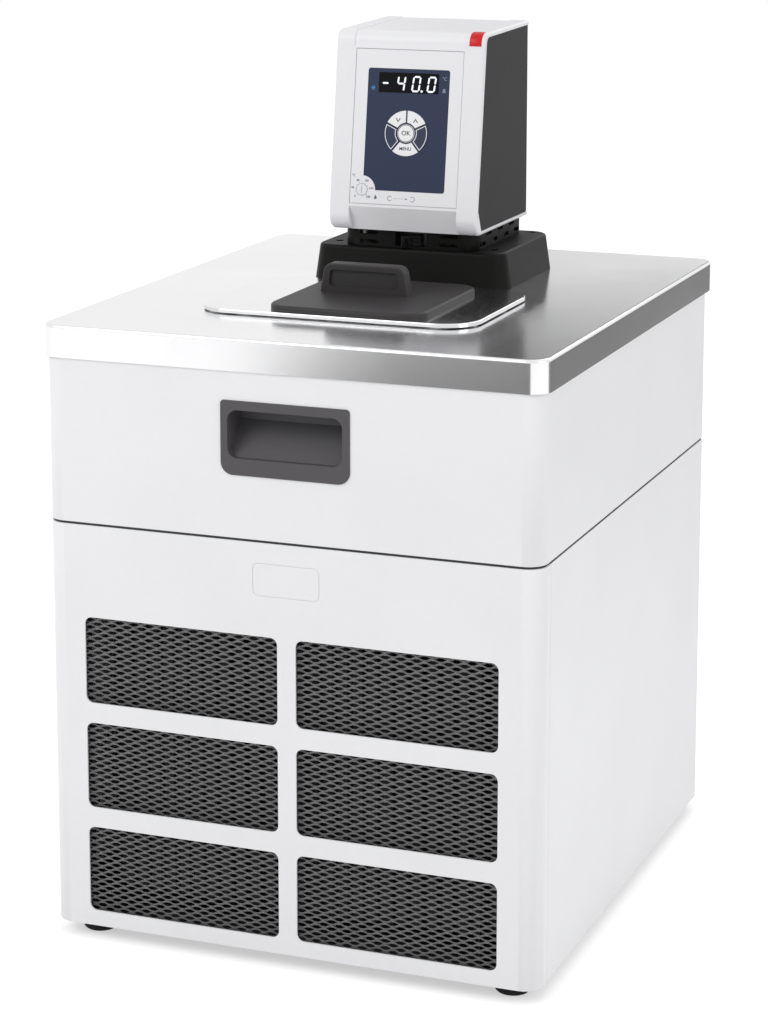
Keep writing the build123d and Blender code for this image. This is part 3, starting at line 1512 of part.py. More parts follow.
# Condenser: grooved fin block between two end plates, with an upright header tube at each end
condenser_y = front + condenser_front
header_y = condenser_y + condenser_depth / 2
condenser_rear = condenser_y + condenser_depth
condenser_height = condenser_top - condenser_bottom
half_condenser = condenser_width / 2
stub_y = header_y + header_radius + stub_length
with BuildPart() as condenser:
    with BuildSketch(Plane.XY.offset(condenser_bottom)):
        with Locations((0, header_y)):
            Rectangle(condenser_width, condenser_depth)
        for face_y in (condenser_y, condenser_rear):
            with Locations((0, face_y)):
                with GridLocations(condenser_width / fin_count, 0, fin_count, 1):
                    Rectangle(fin_groove, 2 * fin_groove_depth, mode=Mode.SUBTRACT)
    extrude(amount=condenser_height)
    with BuildSketch(Plane.XY.offset(pan_top)):
        for side in (-1, 1):
            with Locations((side * (half_condenser + condenser_plate / 2), header_y)):
                Rectangle(condenser_plate, condenser_depth)
    extrude(amount=condenser_top - pan_top)
    with BuildSketch(Plane.XY.offset(condenser_bottom)):
        with Locations((-header_x, header_y), (header_x, header_y)):
            Circle(header_radius)
    extrude(amount=condenser_height)
    with BuildSketch(Plane.XZ.offset(-header_y)):
        with Locations((header_x, discharge_height), (header_x, liquid_height)):
            Circle(stub_radius)
    extrude(amount=header_y - stub_y)
condenser.part.label = "condenser"
export_step(condenser.part, "parts/condenser.step")

# Fan shroud: plate on the condenser's back, a round duct and a spider that holds the motor
duct_radius = fan_radius + fan_tip_clearance
shroud_rear = condenser_rear + shroud_depth
fan_bore = fan_shaft_radius + bearing_clearance
with BuildPart() as fan_shroud:
    with BuildSketch(Plane.XZ.offset(-condenser_rear)):
        with Locations((0, (condenser_bottom + condenser_top) / 2)):
            Rectangle(condenser_width + 2 * condenser_plate, condenser_height)
        with Locations((0, fan_height)):
            Circle(duct_radius, mode=Mode.SUBTRACT)
    extrude(amount=-shroud_thickness)
    with BuildSketch(Plane.XZ.offset(-condenser_rear)):
        with Locations((0, fan_height)):
            Circle(duct_radius + shroud_thickness)
            Circle(duct_radius, mode=Mode.SUBTRACT)
    extrude(amount=-shroud_depth)
    with BuildSketch(Plane.XZ.offset(-(shroud_rear - spider_thickness))):
        with Locations((0, fan_height)):
            Rectangle(2 * duct_radius + shroud_thickness, spider_arm)
            Rectangle(spider_arm, 2 * duct_radius + shroud_thickness)
            Circle(fan_motor_radius)
            Circle(fan_bore, mode=Mode.SUBTRACT)
    extrude(amount=-spider_thickness)
fan_shroud.part.label = "fan_shroud"
export_step(fan_shroud.part, "parts/fan_shroud.step")

# Fan motor: can behind the spider with a blind bearing bore
with BuildPart() as fan_motor:
    with BuildSketch(Plane.XZ.offset(-shroud_rear)):
        with Locations((0, fan_height)):
            Circle(fan_motor_radius)
    extrude(amount=-fan_motor_length)
    fillet(fan_motor.faces().sort_by(Axis.Y)[-1].edges(), fan_motor_edge)
    with BuildSketch(Plane.XZ.offset(-shroud_rear)):
        with Locations((0, fan_height)):
            Circle(fan_bore)
    extrude(amount=-(fan_shaft_depth + fan_shaft_play), mode=Mode.SUBTRACT)
fan_motor.part.label = "fan_motor"
export_step(fan_motor.part, "parts/fan_motor.step")

# Fan: twisted blades lofted from hub to tip, on a shaft that runs through the spider
hub_length = shroud_depth - spider_thickness - 2 * fan_gap
fan_y = condenser_rear + fan_gap + hub_length / 2
shaft_reach = shroud_rear + fan_shaft_depth - fan_y
with BuildPart() as blade:
    for radius, pitch in ((fan_hub_radius - blade_root_sink, blade_root_pitch),
                          (fan_radius, blade_tip_pitch)):
        chord = blade_fill * hub_length / math.sin(math.radians(pitch))
        with BuildSketch(Plane(origin=(radius, 0, 0), x_dir=(0, 1, 0), z_dir=(1, 0, 0))):
            Rectangle(chord, blade_thickness, rotation=pitch)
    loft()
    with BuildSketch(Plane.XY.offset(-hub_length / 2)):
        Circle(fan_radius)
    extrude(amount=hub_length, mode=Mode.INTERSECT)
with BuildPart(Plane(origin=(0, fan_y, fan_height), x_dir=(1, 0, 0), z_dir=(0, 1, 0))) as fan_blades:
    Cylinder(fan_hub_radius, hub_length)
    Cylinder(fan_shaft_radius, shaft_reach, align=(Align.CENTER, Align.CENTER, Align.MIN))
    with PolarLocations(0, fan_blade_count):
        add(blade.part)
fan_blades.part.label = "fan_blades"
export_step(fan_blades.part, "parts/fan_blades.step")

# Compressor: domed steel shell with a welded seam, on a foot plate, with a stub for each line
compressor_rear = front + compressor_y
compressor_middle = (compressor_x, compressor_rear)
bush_places = GridLocations(mount_spacing_x, mount_spacing_y, 2, 2)
bush_centres = [(compressor_x + place.position.X, compressor_rear + place.position.Y)
                for place in bush_places]
foot_plate_z = pan_top + mount_height
shell_low = foot_plate_z + compressor_plate
shell_top = shell_low + compressor_height
seam_z = (shell_low + shell_top) / 2
dome_high = shell_top - compressor_dome
shell_side = compressor_x + compressor_radius
seam_side = shell_side + compressor_seam
with BuildPart() as compressor:
    with BuildSketch(Plane.XY.offset(foot_plate_z)):
        with Locations(compressor_middle):
            RectangleRounded(mount_spacing_x + 2 * mount_radius, mount_spacing_y + 2 * mount_radius,
                             mount_radius)
        with Locations(*bush_centres):
            Circle(mount_bore, mode=Mode.SUBTRACT)
    extrude(amount=compressor_plate)
    with BuildSketch(Plane.XZ.offset(-compressor_rear)):
        with BuildLine():
            Polyline((compressor_x, shell_top), (compressor_x, foot_plate_z), (shell_side, foot_plate_z),
                     (shell_side, seam_z - compressor_seam), (seam_side, seam_z - compressor_seam),
                     (seam_side, seam_z + compressor_seam), (shell_side, seam_z + compressor_seam),
                     (shell_side, dome_high))
            EllipticalCenterArc((compressor_x, dome_high), compressor_radius, compressor_dome, arc_size=90)
        make_face()
    revolve(axis=Axis((compressor_x, compressor_rear, 0), (0, 0, 1)))
    with BuildSketch(Plane.YZ.offset(compressor_x)):
        with Locations((compressor_rear, discharge_height)):
            Circle(stub_radius)
    extrude(amount=compressor_radius + stub_length)
    with BuildSketch(Plane.XZ.offset(-compressor_rear)):
        with Locations((compressor_x, suction_height)):
            Circle(stub_radius)
    extrude(amount=-(compressor_radius + stub_length))
    with BuildSketch(Plane.YZ.offset(compressor_x)):
        with Locations((compressor_rear, dome_high - terminal_height / 2)):
            Rectangle(terminal_width, terminal_height)
    extrude(amount=-(compressor_radius + terminal_depth))
compressor.part.label = "compressor"
export_step(compressor.part, "parts/compressor.step")

# Compressor mounts: four stepped rubber bushes between pan and foot plate
with BuildPart() as compressor_mounts:
    with BuildSketch(Plane.XY.offset(pan_top)):
        with Locations(*bush_centres):
            Circle(mount_radius)
    extrude(amount=mount_height)
    with BuildSketch(Plane.XY.offset(pan_top)):
        with Locations(*bush_centres):
            Circle(mount_bore - panel_clearance)
    extrude(amount=mount_height + 2 * compressor_plate)
compressor_mounts.part.label = "compressor_mounts"
export_step(compressor_mounts.part, "parts/compressor_mounts.step")

# Discharge line: from the compressor's side to the right header
with BuildPart() as discharge_line:
    with BuildLine() as discharge_path:
        FilletPolyline((header_x, stub_y, discharge_height), (header_x, compressor_rear, discharge_height),
                       (shell_side + stub_length, compressor_rear, discharge_height), radius=discharge_bend)
    with BuildSketch(Plane(origin=discharge_path.line @ 0, z_dir=discharge_path.line % 0)):
        Circle(line_radius)
    sweep()
discharge_line.part.label = "discharge_line"
export_step(discharge_line.part, "parts/discharge_line.step")

# Filter drier: swaged can in the liquid line, with the short tube that feeds it from the header
drier_low_y = front + drier_y
drier_high_y = drier_low_y + drier_length
with BuildPart() as filter_drier:
    with BuildSketch(Plane.XY.offset(liquid_height)):
        with BuildLine():
            Polyline((header_x, stub_y), (header_x + line_radius, stub_y),
                     (header_x + line_radius, drier_low_y),
                     (header_x + drier_radius, drier_low_y + drier_cone),
                     (header_x + drier_radius, drier_high_y - drier_cone),
                     (header_x + line_radius, drier_high_y), (header_x, drier_high_y), close=True)
        make_face()
    revolve(axis=Axis((header_x, 0, liquid_height), (0, 1, 0)))
filter_drier.part.label = "filter_drier"
export_step(filter_drier.part, "parts/filter_drier.step")

# Liquid line: from the drier up through the deck and the foam to the top winding
winding_side = tank_width / 2 + winding_inset + winding_depth
with BuildPart() as liquid_line:
    with BuildLine() as liquid_path:
        FilletPolyline((header_x, drier_high_y, liquid_height), (header_x, liquid_y, liquid_height),
                       (header_x, liquid_y, windings[-1]), (winding_side, liquid_y, windings[-1]),
                       radius=line_bend)
    with BuildSketch(Plane(origin=liquid_path.line @ 0, z_dir=liquid_path.line % 0)):
        Circle(line_radius)
    sweep()
liquid_line.part.label = "liquid_line"
export_step(liquid_line.part, "parts/liquid_line.step")

# Suction line: from the lowest winding down behind the foam to the compressor's back
with BuildPart() as suction_line:
    with BuildLine() as suction_path:
        FilletPolyline((compressor_x, winding_y + winding_depth / 2, windings[0]),
                       (compressor_x, suction_y, windings[0]), (compressor_x, suction_y, suction_height),
                       (compressor_x, compressor_rear + compressor_radius + stub_length, suction_height),
                       radius=line_bend)
    with BuildSketch(Plane(origin=suction_path.line @ 0, z_dir=suction_path.line % 0)):
        Circle(line_radius)
    sweep()
suction_line.part.label = "suction_line"
export_step(suction_line.part, "parts/suction_line.step")

# Drain valve: pipe from the tank's floor to a valve behind the front panel
valve_y = front + valve_front
valve_rear = valve_y + valve_length
tank_bottom = tank_floor - tank_wall
drain_start = (drain_x, front + drain_y, tank_bottom)
with BuildPart() as drain_valve:
    with BuildLine() as drain_path:
        FilletPolyline(drain_start, (drain_x, front + drain_y, drain_height),
                       (drain_x, valve_rear, drain_height), radius=drain_bend)
    with BuildSketch(Plane(origin=drain_path.line @ 0, z_dir=drain_path.line % 0)):
        Circle(drain_pipe_radius)
    sweep()
    with BuildSketch(Plane.XZ.offset(-valve_y)):
        with Locations((drain_x, drain_height)):
            Circle(valve_radius)
    extrude(amount=-valve_length)
    with BuildSketch(Plane.XY.offset(drain_height - spout_length)):
        with Locations((drain_x, valve_y + valve_length / 2)):
            Circle(spout_radius)
    extrude(amount=spout_length)
    with BuildSketch(Plane(origin=drain_path.line @ 0, z_dir=drain_path.line % 0)):
        Circle(drain_pipe_bore)
    sweep(path=drain_path.line, mode=Mode.SUBTRACT)
    with BuildSketch(Plane.XY.offset(drain_height - spout_length)):
        with Locations((drain_x, valve_y + valve_length / 2)):
            Circle(spout_bore)
    extrude(amount=spout_length - knob_stem_radius - spout_step, mode=Mode.SUBTRACT)
    with BuildSketch(Plane.XZ.offset(-valve_y)):
        with Locations((drain_x, drain_height)):
            Circle(knob_stem_radius + bearing_clearance)
    extrude(amount=-(knob_stem_length + knob_gap), mode=Mode.SUBTRACT)
drain_valve.part.label = "drain_valve"
export_step(drain_valve.part, "parts/drain_valve.step")

# Drain knob: lobed disc with a wing and a stem that turns in the valve
knob_rear = valve_y - knob_gap
with BuildPart() as drain_knob:
    with BuildSketch(Plane.XZ.offset(-knob_rear)):
        with Locations((drain_x, drain_height)):
            Circle(knob_radius)
            with PolarLocations(knob_radius, knob_lobes):
                Circle(knob_lobe_radius, mode=Mode.SUBTRACT)
    extrude(amount=knob_thickness)
    with BuildSketch(Plane.XZ.offset(-(knob_rear - knob_thickness))):
        with Locations((drain_x, drain_height)):
            SlotOverall(2 * knob_radius - 2 * knob_lobe_radius, knob_wing)
    extrude(amount=knob_wing)
    with BuildSketch(Plane.XZ.offset(-knob_rear)):
        with Locations((drain_x, drain_height)):
            Circle(knob_stem_radius)
    extrude(amount=-(knob_gap + knob_stem_length))
drain_knob.part.label = "drain_knob"
export_step(drain_knob.part, "parts/drain_knob.step")

# Relay box: closed box of the cooling circuit's starter, standing on the pan
with BuildPart() as relay_box:
    with BuildSketch(Plane.XY.offset(pan_top)):
        with Locations((relay_x, front + relay_front + relay_depth / 2)):
            RectangleRounded(relay_width, relay_depth, relay_edge)
    extrude(amount=relay_height)
    chamfer(relay_box.faces().sort_by(Axis.Z)[-1].edges(), relay_edge / 2)
relay_box.part.label = "relay_box"
export_step(relay_box.part, "parts/relay_box.step")

# Mains inlet: flanged socket with three pins and a well for the rocker
inlet_face = rear + inlet_proud
pivot_y = inlet_face - rocker_face - rocker_height / 2 * math.tan(math.radians(rocker_tilt))
well_height = rocker_height + 2 * rocker_gap
rocker_rise = rocker_height * math.tan(math.radians(rocker_tilt))
well_floor = pivot_y - rocker_back - rocker_height / 2 * math.sin(math.radians(rocker_tilt)) - rocker_gap
with BuildPart() as mains_inlet:
    with BuildSketch(Plane.XZ.offset(-inlet_face)):
        with Locations((inlet_x, inlet_height)):
            RectangleRounded(inlet_width + 2 * inlet_flange, inlet_tall + 2 * inlet_flange, inlet_flange)
    extrude(amount=inlet_proud)
    with BuildSketch(Plane.XZ.offset(-inlet_face)):
        with Locations((inlet_x, inlet_height)):
            Rectangle(inlet_width - 2 * panel_clearance, inlet_tall - 2 * panel_clearance)
    extrude(amount=inlet_depth)
    with BuildSketch(Plane.XZ.offset(-inlet_face)) as socket_mouth:
        with Locations((inlet_x + inlet_socket_x, inlet_height)):
            Rectangle(inlet_socket_width, inlet_socket_height)
        chamfer(socket_mouth.vertices().group_by(Axis.Y)[-1], inlet_socket_corner)
    extrude(amount=inlet_socket_depth, mode=Mode.SUBTRACT)
    with BuildSketch(Plane.XZ.offset(-(inlet_face - inlet_socket_depth))):
        with Locations((inlet_x + inlet_socket_x, inlet_height)):
            with Locations((-inlet_pin_pitch, -inlet_pin_drop), (0, inlet_pin_drop),
                           (inlet_pin_pitch, -inlet_pin_drop)):
                Rectangle(inlet_pin_width, inlet_pin_height)
    extrude(amount=-inlet_pin_length)
    with BuildSketch(Plane.XZ.offset(-inlet_face)):
        with Locations((inlet_x + rocker_x, inlet_height)):
            Rectangle(rocker_width + 2 * rocker_gap, well_height)
    extrude(amount=inlet_face - well_floor, mode=Mode.SUBTRACT)
    with BuildSketch(Plane.YZ.offset(inlet_x + rocker_x)):
        with Locations((pivot_y, inlet_height)):
            Circle(rocker_pin_radius + bearing_clearance)
    extrude(amount=rocker_width / 2 + 2 * rocker_gap + rocker_pin_reach, both=True, mode=Mode.SUBTRACT)
mains_inlet.part.label = "mains_inlet"
export_step(mains_inlet.part, "parts/mains_inlet.step")

# Rocker: round-ended body with a hollowed V face, held on two pins
with BuildPart() as mains_rocker:
    with BuildSketch(Plane.YZ.offset(inlet_x + rocker_x)):
        with Locations((pivot_y, inlet_height)):
            Circle(rocker_height / 2)
            Polygon((-rocker_back, -rocker_height), (rocker_face + rocker_rise, -rocker_height),
                    (rocker_face, 0), (rocker_face + rocker_rise, rocker_height),
                    (-rocker_back, rocker_height), align=None, mode=Mode.INTERSECT)
    extrude(amount=rocker_width / 2, both=True)
    with BuildSketch(Plane.YZ.offset(inlet_x + rocker_x)):
        with Locations((pivot_y, inlet_height)):
            Circle(rocker_pin_radius)
    extrude(amount=rocker_width / 2 + rocker_gap + rocker_pin_reach, both=True)
mains_rocker.part.label = "mains_rocker"
export_step(mains_rocker.part, "parts/mains_rocker.step")

# Screws: four hold the bridge to the plate, four hold the rear panel to pan and deck
bridge_seat = plate_top + 2 * bridge_wall
with BuildPart() as screws:
    with BuildSketch(Plane.XY.offset(bridge_seat)):
        with Locations(*bridge_screws):
            Circle(screw_head_radius)
    extrude(amount=screw_head)
    with BuildSketch(Plane.XY.offset(bridge_seat)):
        with Locations(*bridge_screws):
            Circle(screw_radius)
    extrude(amount=plate_underside - bridge_seat)
    with BuildSketch(Plane.XZ.offset(-rear)):
        with Locations(*rear_screws):
            Circle(screw_head_radius)
    extrude(amount=-screw_head)
    with BuildSketch(Plane.XZ.offset(-rear)):
        with Locations(*rear_screws):
            Circle(screw_radius)
    extrude(amount=screw_length)
screws.part.label = "screws"
export_step(screws.part, "parts/screws.step")
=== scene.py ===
# %% [markdown]
# A benchtop refrigerated circulator, dressed in Blender. The solids come packed from the CAD model and
# never move. This file gives them their finishes, lays the printed marks on the control head, and puts
# the fine expanded metal behind the windows, which is too fine for the solids.

# %% Load the frame
import json
import math
import bpy
from mathutils import Matrix, Vector


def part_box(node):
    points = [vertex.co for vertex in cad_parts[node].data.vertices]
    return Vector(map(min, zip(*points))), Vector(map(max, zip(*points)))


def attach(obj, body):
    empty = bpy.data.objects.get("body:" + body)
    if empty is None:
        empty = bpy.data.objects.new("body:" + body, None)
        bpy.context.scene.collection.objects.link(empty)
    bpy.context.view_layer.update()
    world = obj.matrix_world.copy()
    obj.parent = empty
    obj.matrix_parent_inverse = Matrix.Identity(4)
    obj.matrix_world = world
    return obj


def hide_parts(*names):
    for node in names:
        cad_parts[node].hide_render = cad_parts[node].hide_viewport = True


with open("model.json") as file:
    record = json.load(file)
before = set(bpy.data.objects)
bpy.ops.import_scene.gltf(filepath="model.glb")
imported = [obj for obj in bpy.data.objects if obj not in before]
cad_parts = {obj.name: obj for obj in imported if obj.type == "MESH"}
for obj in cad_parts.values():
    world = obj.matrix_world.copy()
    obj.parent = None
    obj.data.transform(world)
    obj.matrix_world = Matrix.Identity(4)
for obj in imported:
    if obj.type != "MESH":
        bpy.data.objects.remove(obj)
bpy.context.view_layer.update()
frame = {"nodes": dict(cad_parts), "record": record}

MM = 0.001

# %% [markdown]
# The camera stands at the photograph's place. Its position, turn and lens were fitted to corners of the
# cabinet whose real places are known, so that the picture and the render can be laid side by side. A
# small vertical shift keeps the upright edges near upright, as in the photograph.

# %% Camera
CAMERA_PLACE = Vector((0.8342, -2.21001, 0.92532))
CAMERA_YAW = math.radians(20.96)
CAMERA_PITCH = math.radians(10.42)
CAMERA_LENS = 100.68
CAMERA_SHIFT = -0.2


def make_camera():
    """Camera at the photograph's viewing angle."""
    data = bpy.data.cameras.new("photo_camera")
    data.lens = CAMERA_LENS
    data.sensor_width = 36.0
    data.sensor_fit = "AUTO"
    data.shift_y = CAMERA_SHIFT
    camera = bpy.data.objects.new("photo_camera", data)
    camera.location = CAMERA_PLACE
    camera.rotation_euler = (math.pi / 2 - CAMERA_PITCH, 0.0, CAMERA_YAW)
    bpy.context.scene.collection.objects.link(camera)
    bpy.context.scene.camera = camera
    return camera


photo_camera = make_camera()
print("camera at", [round(value, 3) for value in photo_camera.location])

# %% [markdown]
# A product photograph on white has a floor that is lost in the background and keeps only a soft shadow.
# The floor shader therefore glows a little for the camera, so that its lit parts reach white, while the
# light that it sends to the object stays that of a plain pale floor. The world does the same: white where
# it is seen or mirrored, and dimmer as a lamp.

# %% Stage and light
WORLD_LEVEL = 0.72
FLOOR_SIZE = 12.0
FLOOR_GLOW = 0.5
FLOOR_TONE = 0.75
AIM = Vector((0.0, 0.0, 0.35))
LAMPS = {
    "key_lamp": {"place": (-1.6, -2.4, 2.3), "size": 1.6, "power": 32.0},
    "side_lamp": {"place": (2.6, -0.8, 1.7), "size": 1.4, "power": 14.0},
    "back_lamp": {"place": (0.4, 2.4, 2.2), "size": 1.6, "power": 16.0},
}


def link_nodes(tree, pairs):
    """Links each (output, input) pair."""
    for source, target in pairs:
        tree.links.new(source, target)


def seen_directly(tree):
    """Output that is 1 for rays from the camera, or mirrored or refracted towards it."""
    path = tree.nodes.new("ShaderNodeLightPath")
    either = tree.nodes.new("ShaderNodeMath")
    either.operation = "MAXIMUM"
    seen = tree.nodes.new("ShaderNodeMath")
    seen.operation = "MAXIMUM"
    link_nodes(tree, [(path.outputs["Is Camera Ray"], either.inputs[0]),
                      (path.outputs["Is Glossy Ray"], either.inputs[1]),
                      (either.outputs[0], seen.inputs[0]),
                      (path.outputs["Is Transmission Ray"], seen.inputs[1])])
    return seen.outputs[0]


def make_world():
    """White where it is seen, dimmer as a lamp."""
    world = bpy.data.worlds.new("studio")
    bpy.context.scene.world = world
    world.use_nodes = True
    tree = world.node_tree
    tree.nodes.clear()
    lamp = tree.nodes.new("ShaderNodeBackground")
    lamp.inputs["Strength"].default_value = WORLD_LEVEL
    lamp.inputs["Color"].default_value = (1, 1, 1, 1)
    white = tree.nodes.new("ShaderNodeBackground")
    white.inputs["Color"].default_value = (1, 1, 1, 1)
    mix = tree.nodes.new("ShaderNodeMixShader")
    out = tree.nodes.new("ShaderNodeOutputWorld")
    link_nodes(tree, [(seen_directly(tree), mix.inputs[0]), (lamp.outputs[0], mix.inputs[1]),
                      (white.outputs[0], mix.inputs[2]), (mix.outputs[0], out.inputs[0])])


def make_floor():
    """Pale floor that reaches white where it is lit and keeps the object's shadow."""
    mesh = bpy.data.meshes.new("floor")
    half = FLOOR_SIZE / 2
    corners = [(-half, -half, 0), (half, -half, 0), (half, half, 0), (-half, half, 0)]
    mesh.from_pydata(corners, [], [(0, 1, 2, 3)])
    floor = bpy.data.objects.new("floor", mesh)
    bpy.context.scene.collection.objects.link(floor)
    material = bpy.data.materials.new("floor_white")
    material.use_nodes = True
    tree = material.node_tree
    tree.nodes.clear()
    plain = tree.nodes.new("ShaderNodeBsdfDiffuse")
    plain.inputs["Color"].default_value = (FLOOR_TONE, FLOOR_TONE, FLOOR_TONE, 1)
    glow = tree.nodes.new("ShaderNodeEmission")
    glow.inputs["Strength"].default_value = FLOOR_GLOW
    lit = tree.nodes.new("ShaderNodeAddShader")
    mix = tree.nodes.new("ShaderNodeMixShader")
    out = tree.nodes.new("ShaderNodeOutputMaterial")
    link_nodes(tree, [(plain.outputs[0], lit.inputs[0]), (glow.outputs[0], lit.inputs[1]),
                      (seen_directly(tree), mix.inputs[0]), (plain.outputs[0], mix.inputs[1]),
                      (lit.outputs[0], mix.inputs[2]), (mix.outputs[0], out.inputs[0])])
    mesh.materials.append(material)


def make_lamps():
    """Large soft lamps that all point at the middle of the machine."""
    for name, lamp in LAMPS.items():
        data = bpy.data.lights.new(name, "AREA")
        data.size = lamp["size"]
        data.energy = lamp["power"]
        light = bpy.data.objects.new(name, data)
        light.location = lamp["place"]
        light.rotation_euler = (AIM - light.location).to_track_quat("-Z", "Y").to_euler()
        bpy.context.scene.collection.objects.link(light)


bpy.context.scene.view_settings.view_transform = "Standard"
make_world()
make_floor()
make_lamps()
print("lamps", sorted(LAMPS))

# %% [markdown]
# Polished steel shows only what stands round it. In a white studio it would vanish, so photographers set
# dark cards that only the steel mirrors. The skirt mirrors the floor, so one card lies in front and one
# behind on the right. The top mirrors what is above and behind it, so one card hangs there. They are hidden
# from the camera and throw no shade.

# %% Dark cards
CARDS = {
    "card_front": {"tone": 0.16, "corners": [(-1.15, -3.6, 0.01), (0.6, -3.6, 0.01), (0.6, -1.2, 0.01),
                                             (-0.6, -1.2, 0.01)]},
    "card_side": {"tone": 0.2, "corners": [(0.55, 0.9, 0.01), (2.6, 0.9, 0.01), (2.6, 4.2, 0.01),
                                           (0.75, 4.2, 0.01)]},
    "card_above": {"tone": 0.12, "corners": [(-1.2, 3.0, 1.13), (0.2, 3.0, 1.13), (0.2, 3.0, 2.4),
                                             (-1.2, 3.0, 2.4)]},
}


def make_card(name, tone, corners):
    """Dark card that is seen only in reflections."""
    mesh = bpy.data.meshes.new(name)
    mesh.from_pydata(corners, [], [(0, 1, 2, 3)])
    card = bpy.data.objects.new(name, mesh)
    bpy.context.scene.collection.objects.link(card)
    material = bpy.data.materials.new(name)
    material.use_nodes = True
    shader = material.node_tree.nodes["Principled BSDF"]
    shader.inputs["Base Color"].default_value = (tone, tone, tone, 1)
    shader.inputs["Specular IOR Level"].default_value = 0.0
    mesh.materials.append(material)
    card.visible_camera = False
    card.visible_diffuse = False
    card.visible_shadow = False
    card.visible_transmission = False


for name, card in CARDS.items():
    make_card(name, card["tone"], card["corners"])
print("cards", sorted(CARDS))

# %% [markdown]
# Most finishes here share a few effects: a coat or a moulding is never one flat colour, a powder coat has
# the skin of an orange, a moulded plastic has a fine spark-eroded grain, and a rolled sheet has streaks
# along its rolling. Each effect is a node group with its own inputs, built once. The groups put out only
# colours, gloss values and heights, and each material keeps its own shader.

# %% Node groups
FINE_DRIFT_SCALE = 160.0
FINE_DRIFT_SHARE = 0.35
DRIFT_CENTRE = 0.68
TONE_SWING = 2.0
GLOSS_SWING = -1.2
FINE_PEEL_SCALE = 3.1
FINE_PEEL_SHARE = 0.3
BROAD_GRAIN_SCALE = 0.4


def new_group(name, inputs, outputs):
    """Empty shader node group with named sockets, and its input and output nodes."""
    group = bpy.data.node_groups.new(name, "ShaderNodeTree")
    for label, kind, value in inputs:
        socket = group.interface.new_socket(label, in_out="INPUT", socket_type=kind)
        if value is not None:
            socket.default_value = value
    for label, kind in outputs:
        group.interface.new_socket(label, in_out="OUTPUT", socket_type=kind)
    return group, group.nodes.new("NodeGroupInput"), group.nodes.new("NodeGroupOutput")


def add_noise(tree, vector, scale, detail=2.0):
    """Noise texture; scale is an output or a number."""
    noise = tree.nodes.new("ShaderNodeTexNoise")
    noise.inputs["Detail"].default_value = detail
    tree.links.new(vector, noise.inputs["Vector"])
    if isinstance(scale, (int, float)):
        noise.inputs["Scale"].default_value = scale
    else:
        tree.links.new(scale, noise.inputs["Scale"])
    return noise.outputs["Fac"]


def add_math(tree, operation, first, second):
    """Math node; each operand is an output or a number."""
    node = tree.nodes.new("ShaderNodeMath")
    node.operation = operation
    for slot, value in enumerate((first, second)):
        if isinstance(value, (int, float)):
            node.inputs[slot].default_value = value
        else:
            tree.links.new(value, node.inputs[slot])
    return node.outputs[0]


def make_drift():
    """Slow change of tone and gloss over a surface, from handling, dust and uneven coats."""
    tree, start, end = new_group("tone_drift",
                                 [("Vector", "NodeSocketVector", None), ("Color", "NodeSocketColor", None),
                                  ("Roughness", "NodeSocketFloat", 0.5), ("Amount", "NodeSocketFloat", 0.05),
                                  ("Scale", "NodeSocketFloat", 9.0)],
                                 [("Color", "NodeSocketColor"), ("Roughness", "NodeSocketFloat")])
    broad = add_noise(tree, start.outputs["Vector"], start.outputs["Scale"], 3.0)
    fine = add_noise(tree, start.outputs["Vector"], FINE_DRIFT_SCALE, 2.0)
    both = add_math(tree, "ADD", broad, add_math(tree, "MULTIPLY", fine, FINE_DRIFT_SHARE))
    centred = add_math(tree, "SUBTRACT", both, DRIFT_CENTRE)
    swing = add_math(tree, "MULTIPLY", centred, start.outputs["Amount"])
    tone = tree.nodes.new("ShaderNodeHueSaturation")
    value = add_math(tree, "ADD", add_math(tree, "MULTIPLY", swing, TONE_SWING), 1.0)
    gloss_swing = add_math(tree, "MULTIPLY", swing, GLOSS_SWING)
    gloss = add_math(tree, "ADD", start.outputs["Roughness"], gloss_swing)
    link_nodes(tree, [(start.outputs["Color"], tone.inputs["Color"]), (value, tone.inputs["Value"]),
                      (tone.outputs["Color"], end.inputs["Color"]), (gloss, end.inputs["Roughness"])])
    return tree


def make_peel():
    """Orange-peel skin of a baked powder coat."""
    tree, start, end = new_group("powder_peel", [("Vector", "NodeSocketVector", None),
                                                 ("Scale", "NodeSocketFloat", 420.0)],
                                 [("Height", "NodeSocketFloat")])
    coarse = add_noise(tree, start.outputs["Vector"], start.outputs["Scale"], 1.0)
    fine_scale = add_math(tree, "MULTIPLY", start.outputs["Scale"], FINE_PEEL_SCALE)
    fine = add_noise(tree, start.outputs["Vector"], fine_scale, 1.0)
    height = add_math(tree, "ADD", coarse, add_math(tree, "MULTIPLY", fine, FINE_PEEL_SHARE))
    tree.links.new(height, end.inputs["Height"])
    return tree


def make_grain():
    """Spark-eroded grain of a moulding: small rounded cells."""
    tree, start, end = new_group("mould_grain", [("Vector", "NodeSocketVector", None),
                                                 ("Scale", "NodeSocketFloat", 1400.0)],
                                 [("Height", "NodeSocketFloat")])
    cells = tree.nodes.new("ShaderNodeTexVoronoi")
    cells.feature = "SMOOTH_F1"
    link_nodes(tree, [(start.outputs["Vector"], cells.inputs["Vector"]),
                      (start.outputs["Scale"], cells.inputs["Scale"])])
    broad_scale = add_math(tree, "MULTIPLY", start.outputs["Scale"], BROAD_GRAIN_SCALE)
    rough = add_noise(tree, start.outputs["Vector"], broad_scale, 2.0)
    tree.links.new(add_math(tree, "ADD", cells.outputs["Distance"], rough), end.inputs["Height"])
    return tree


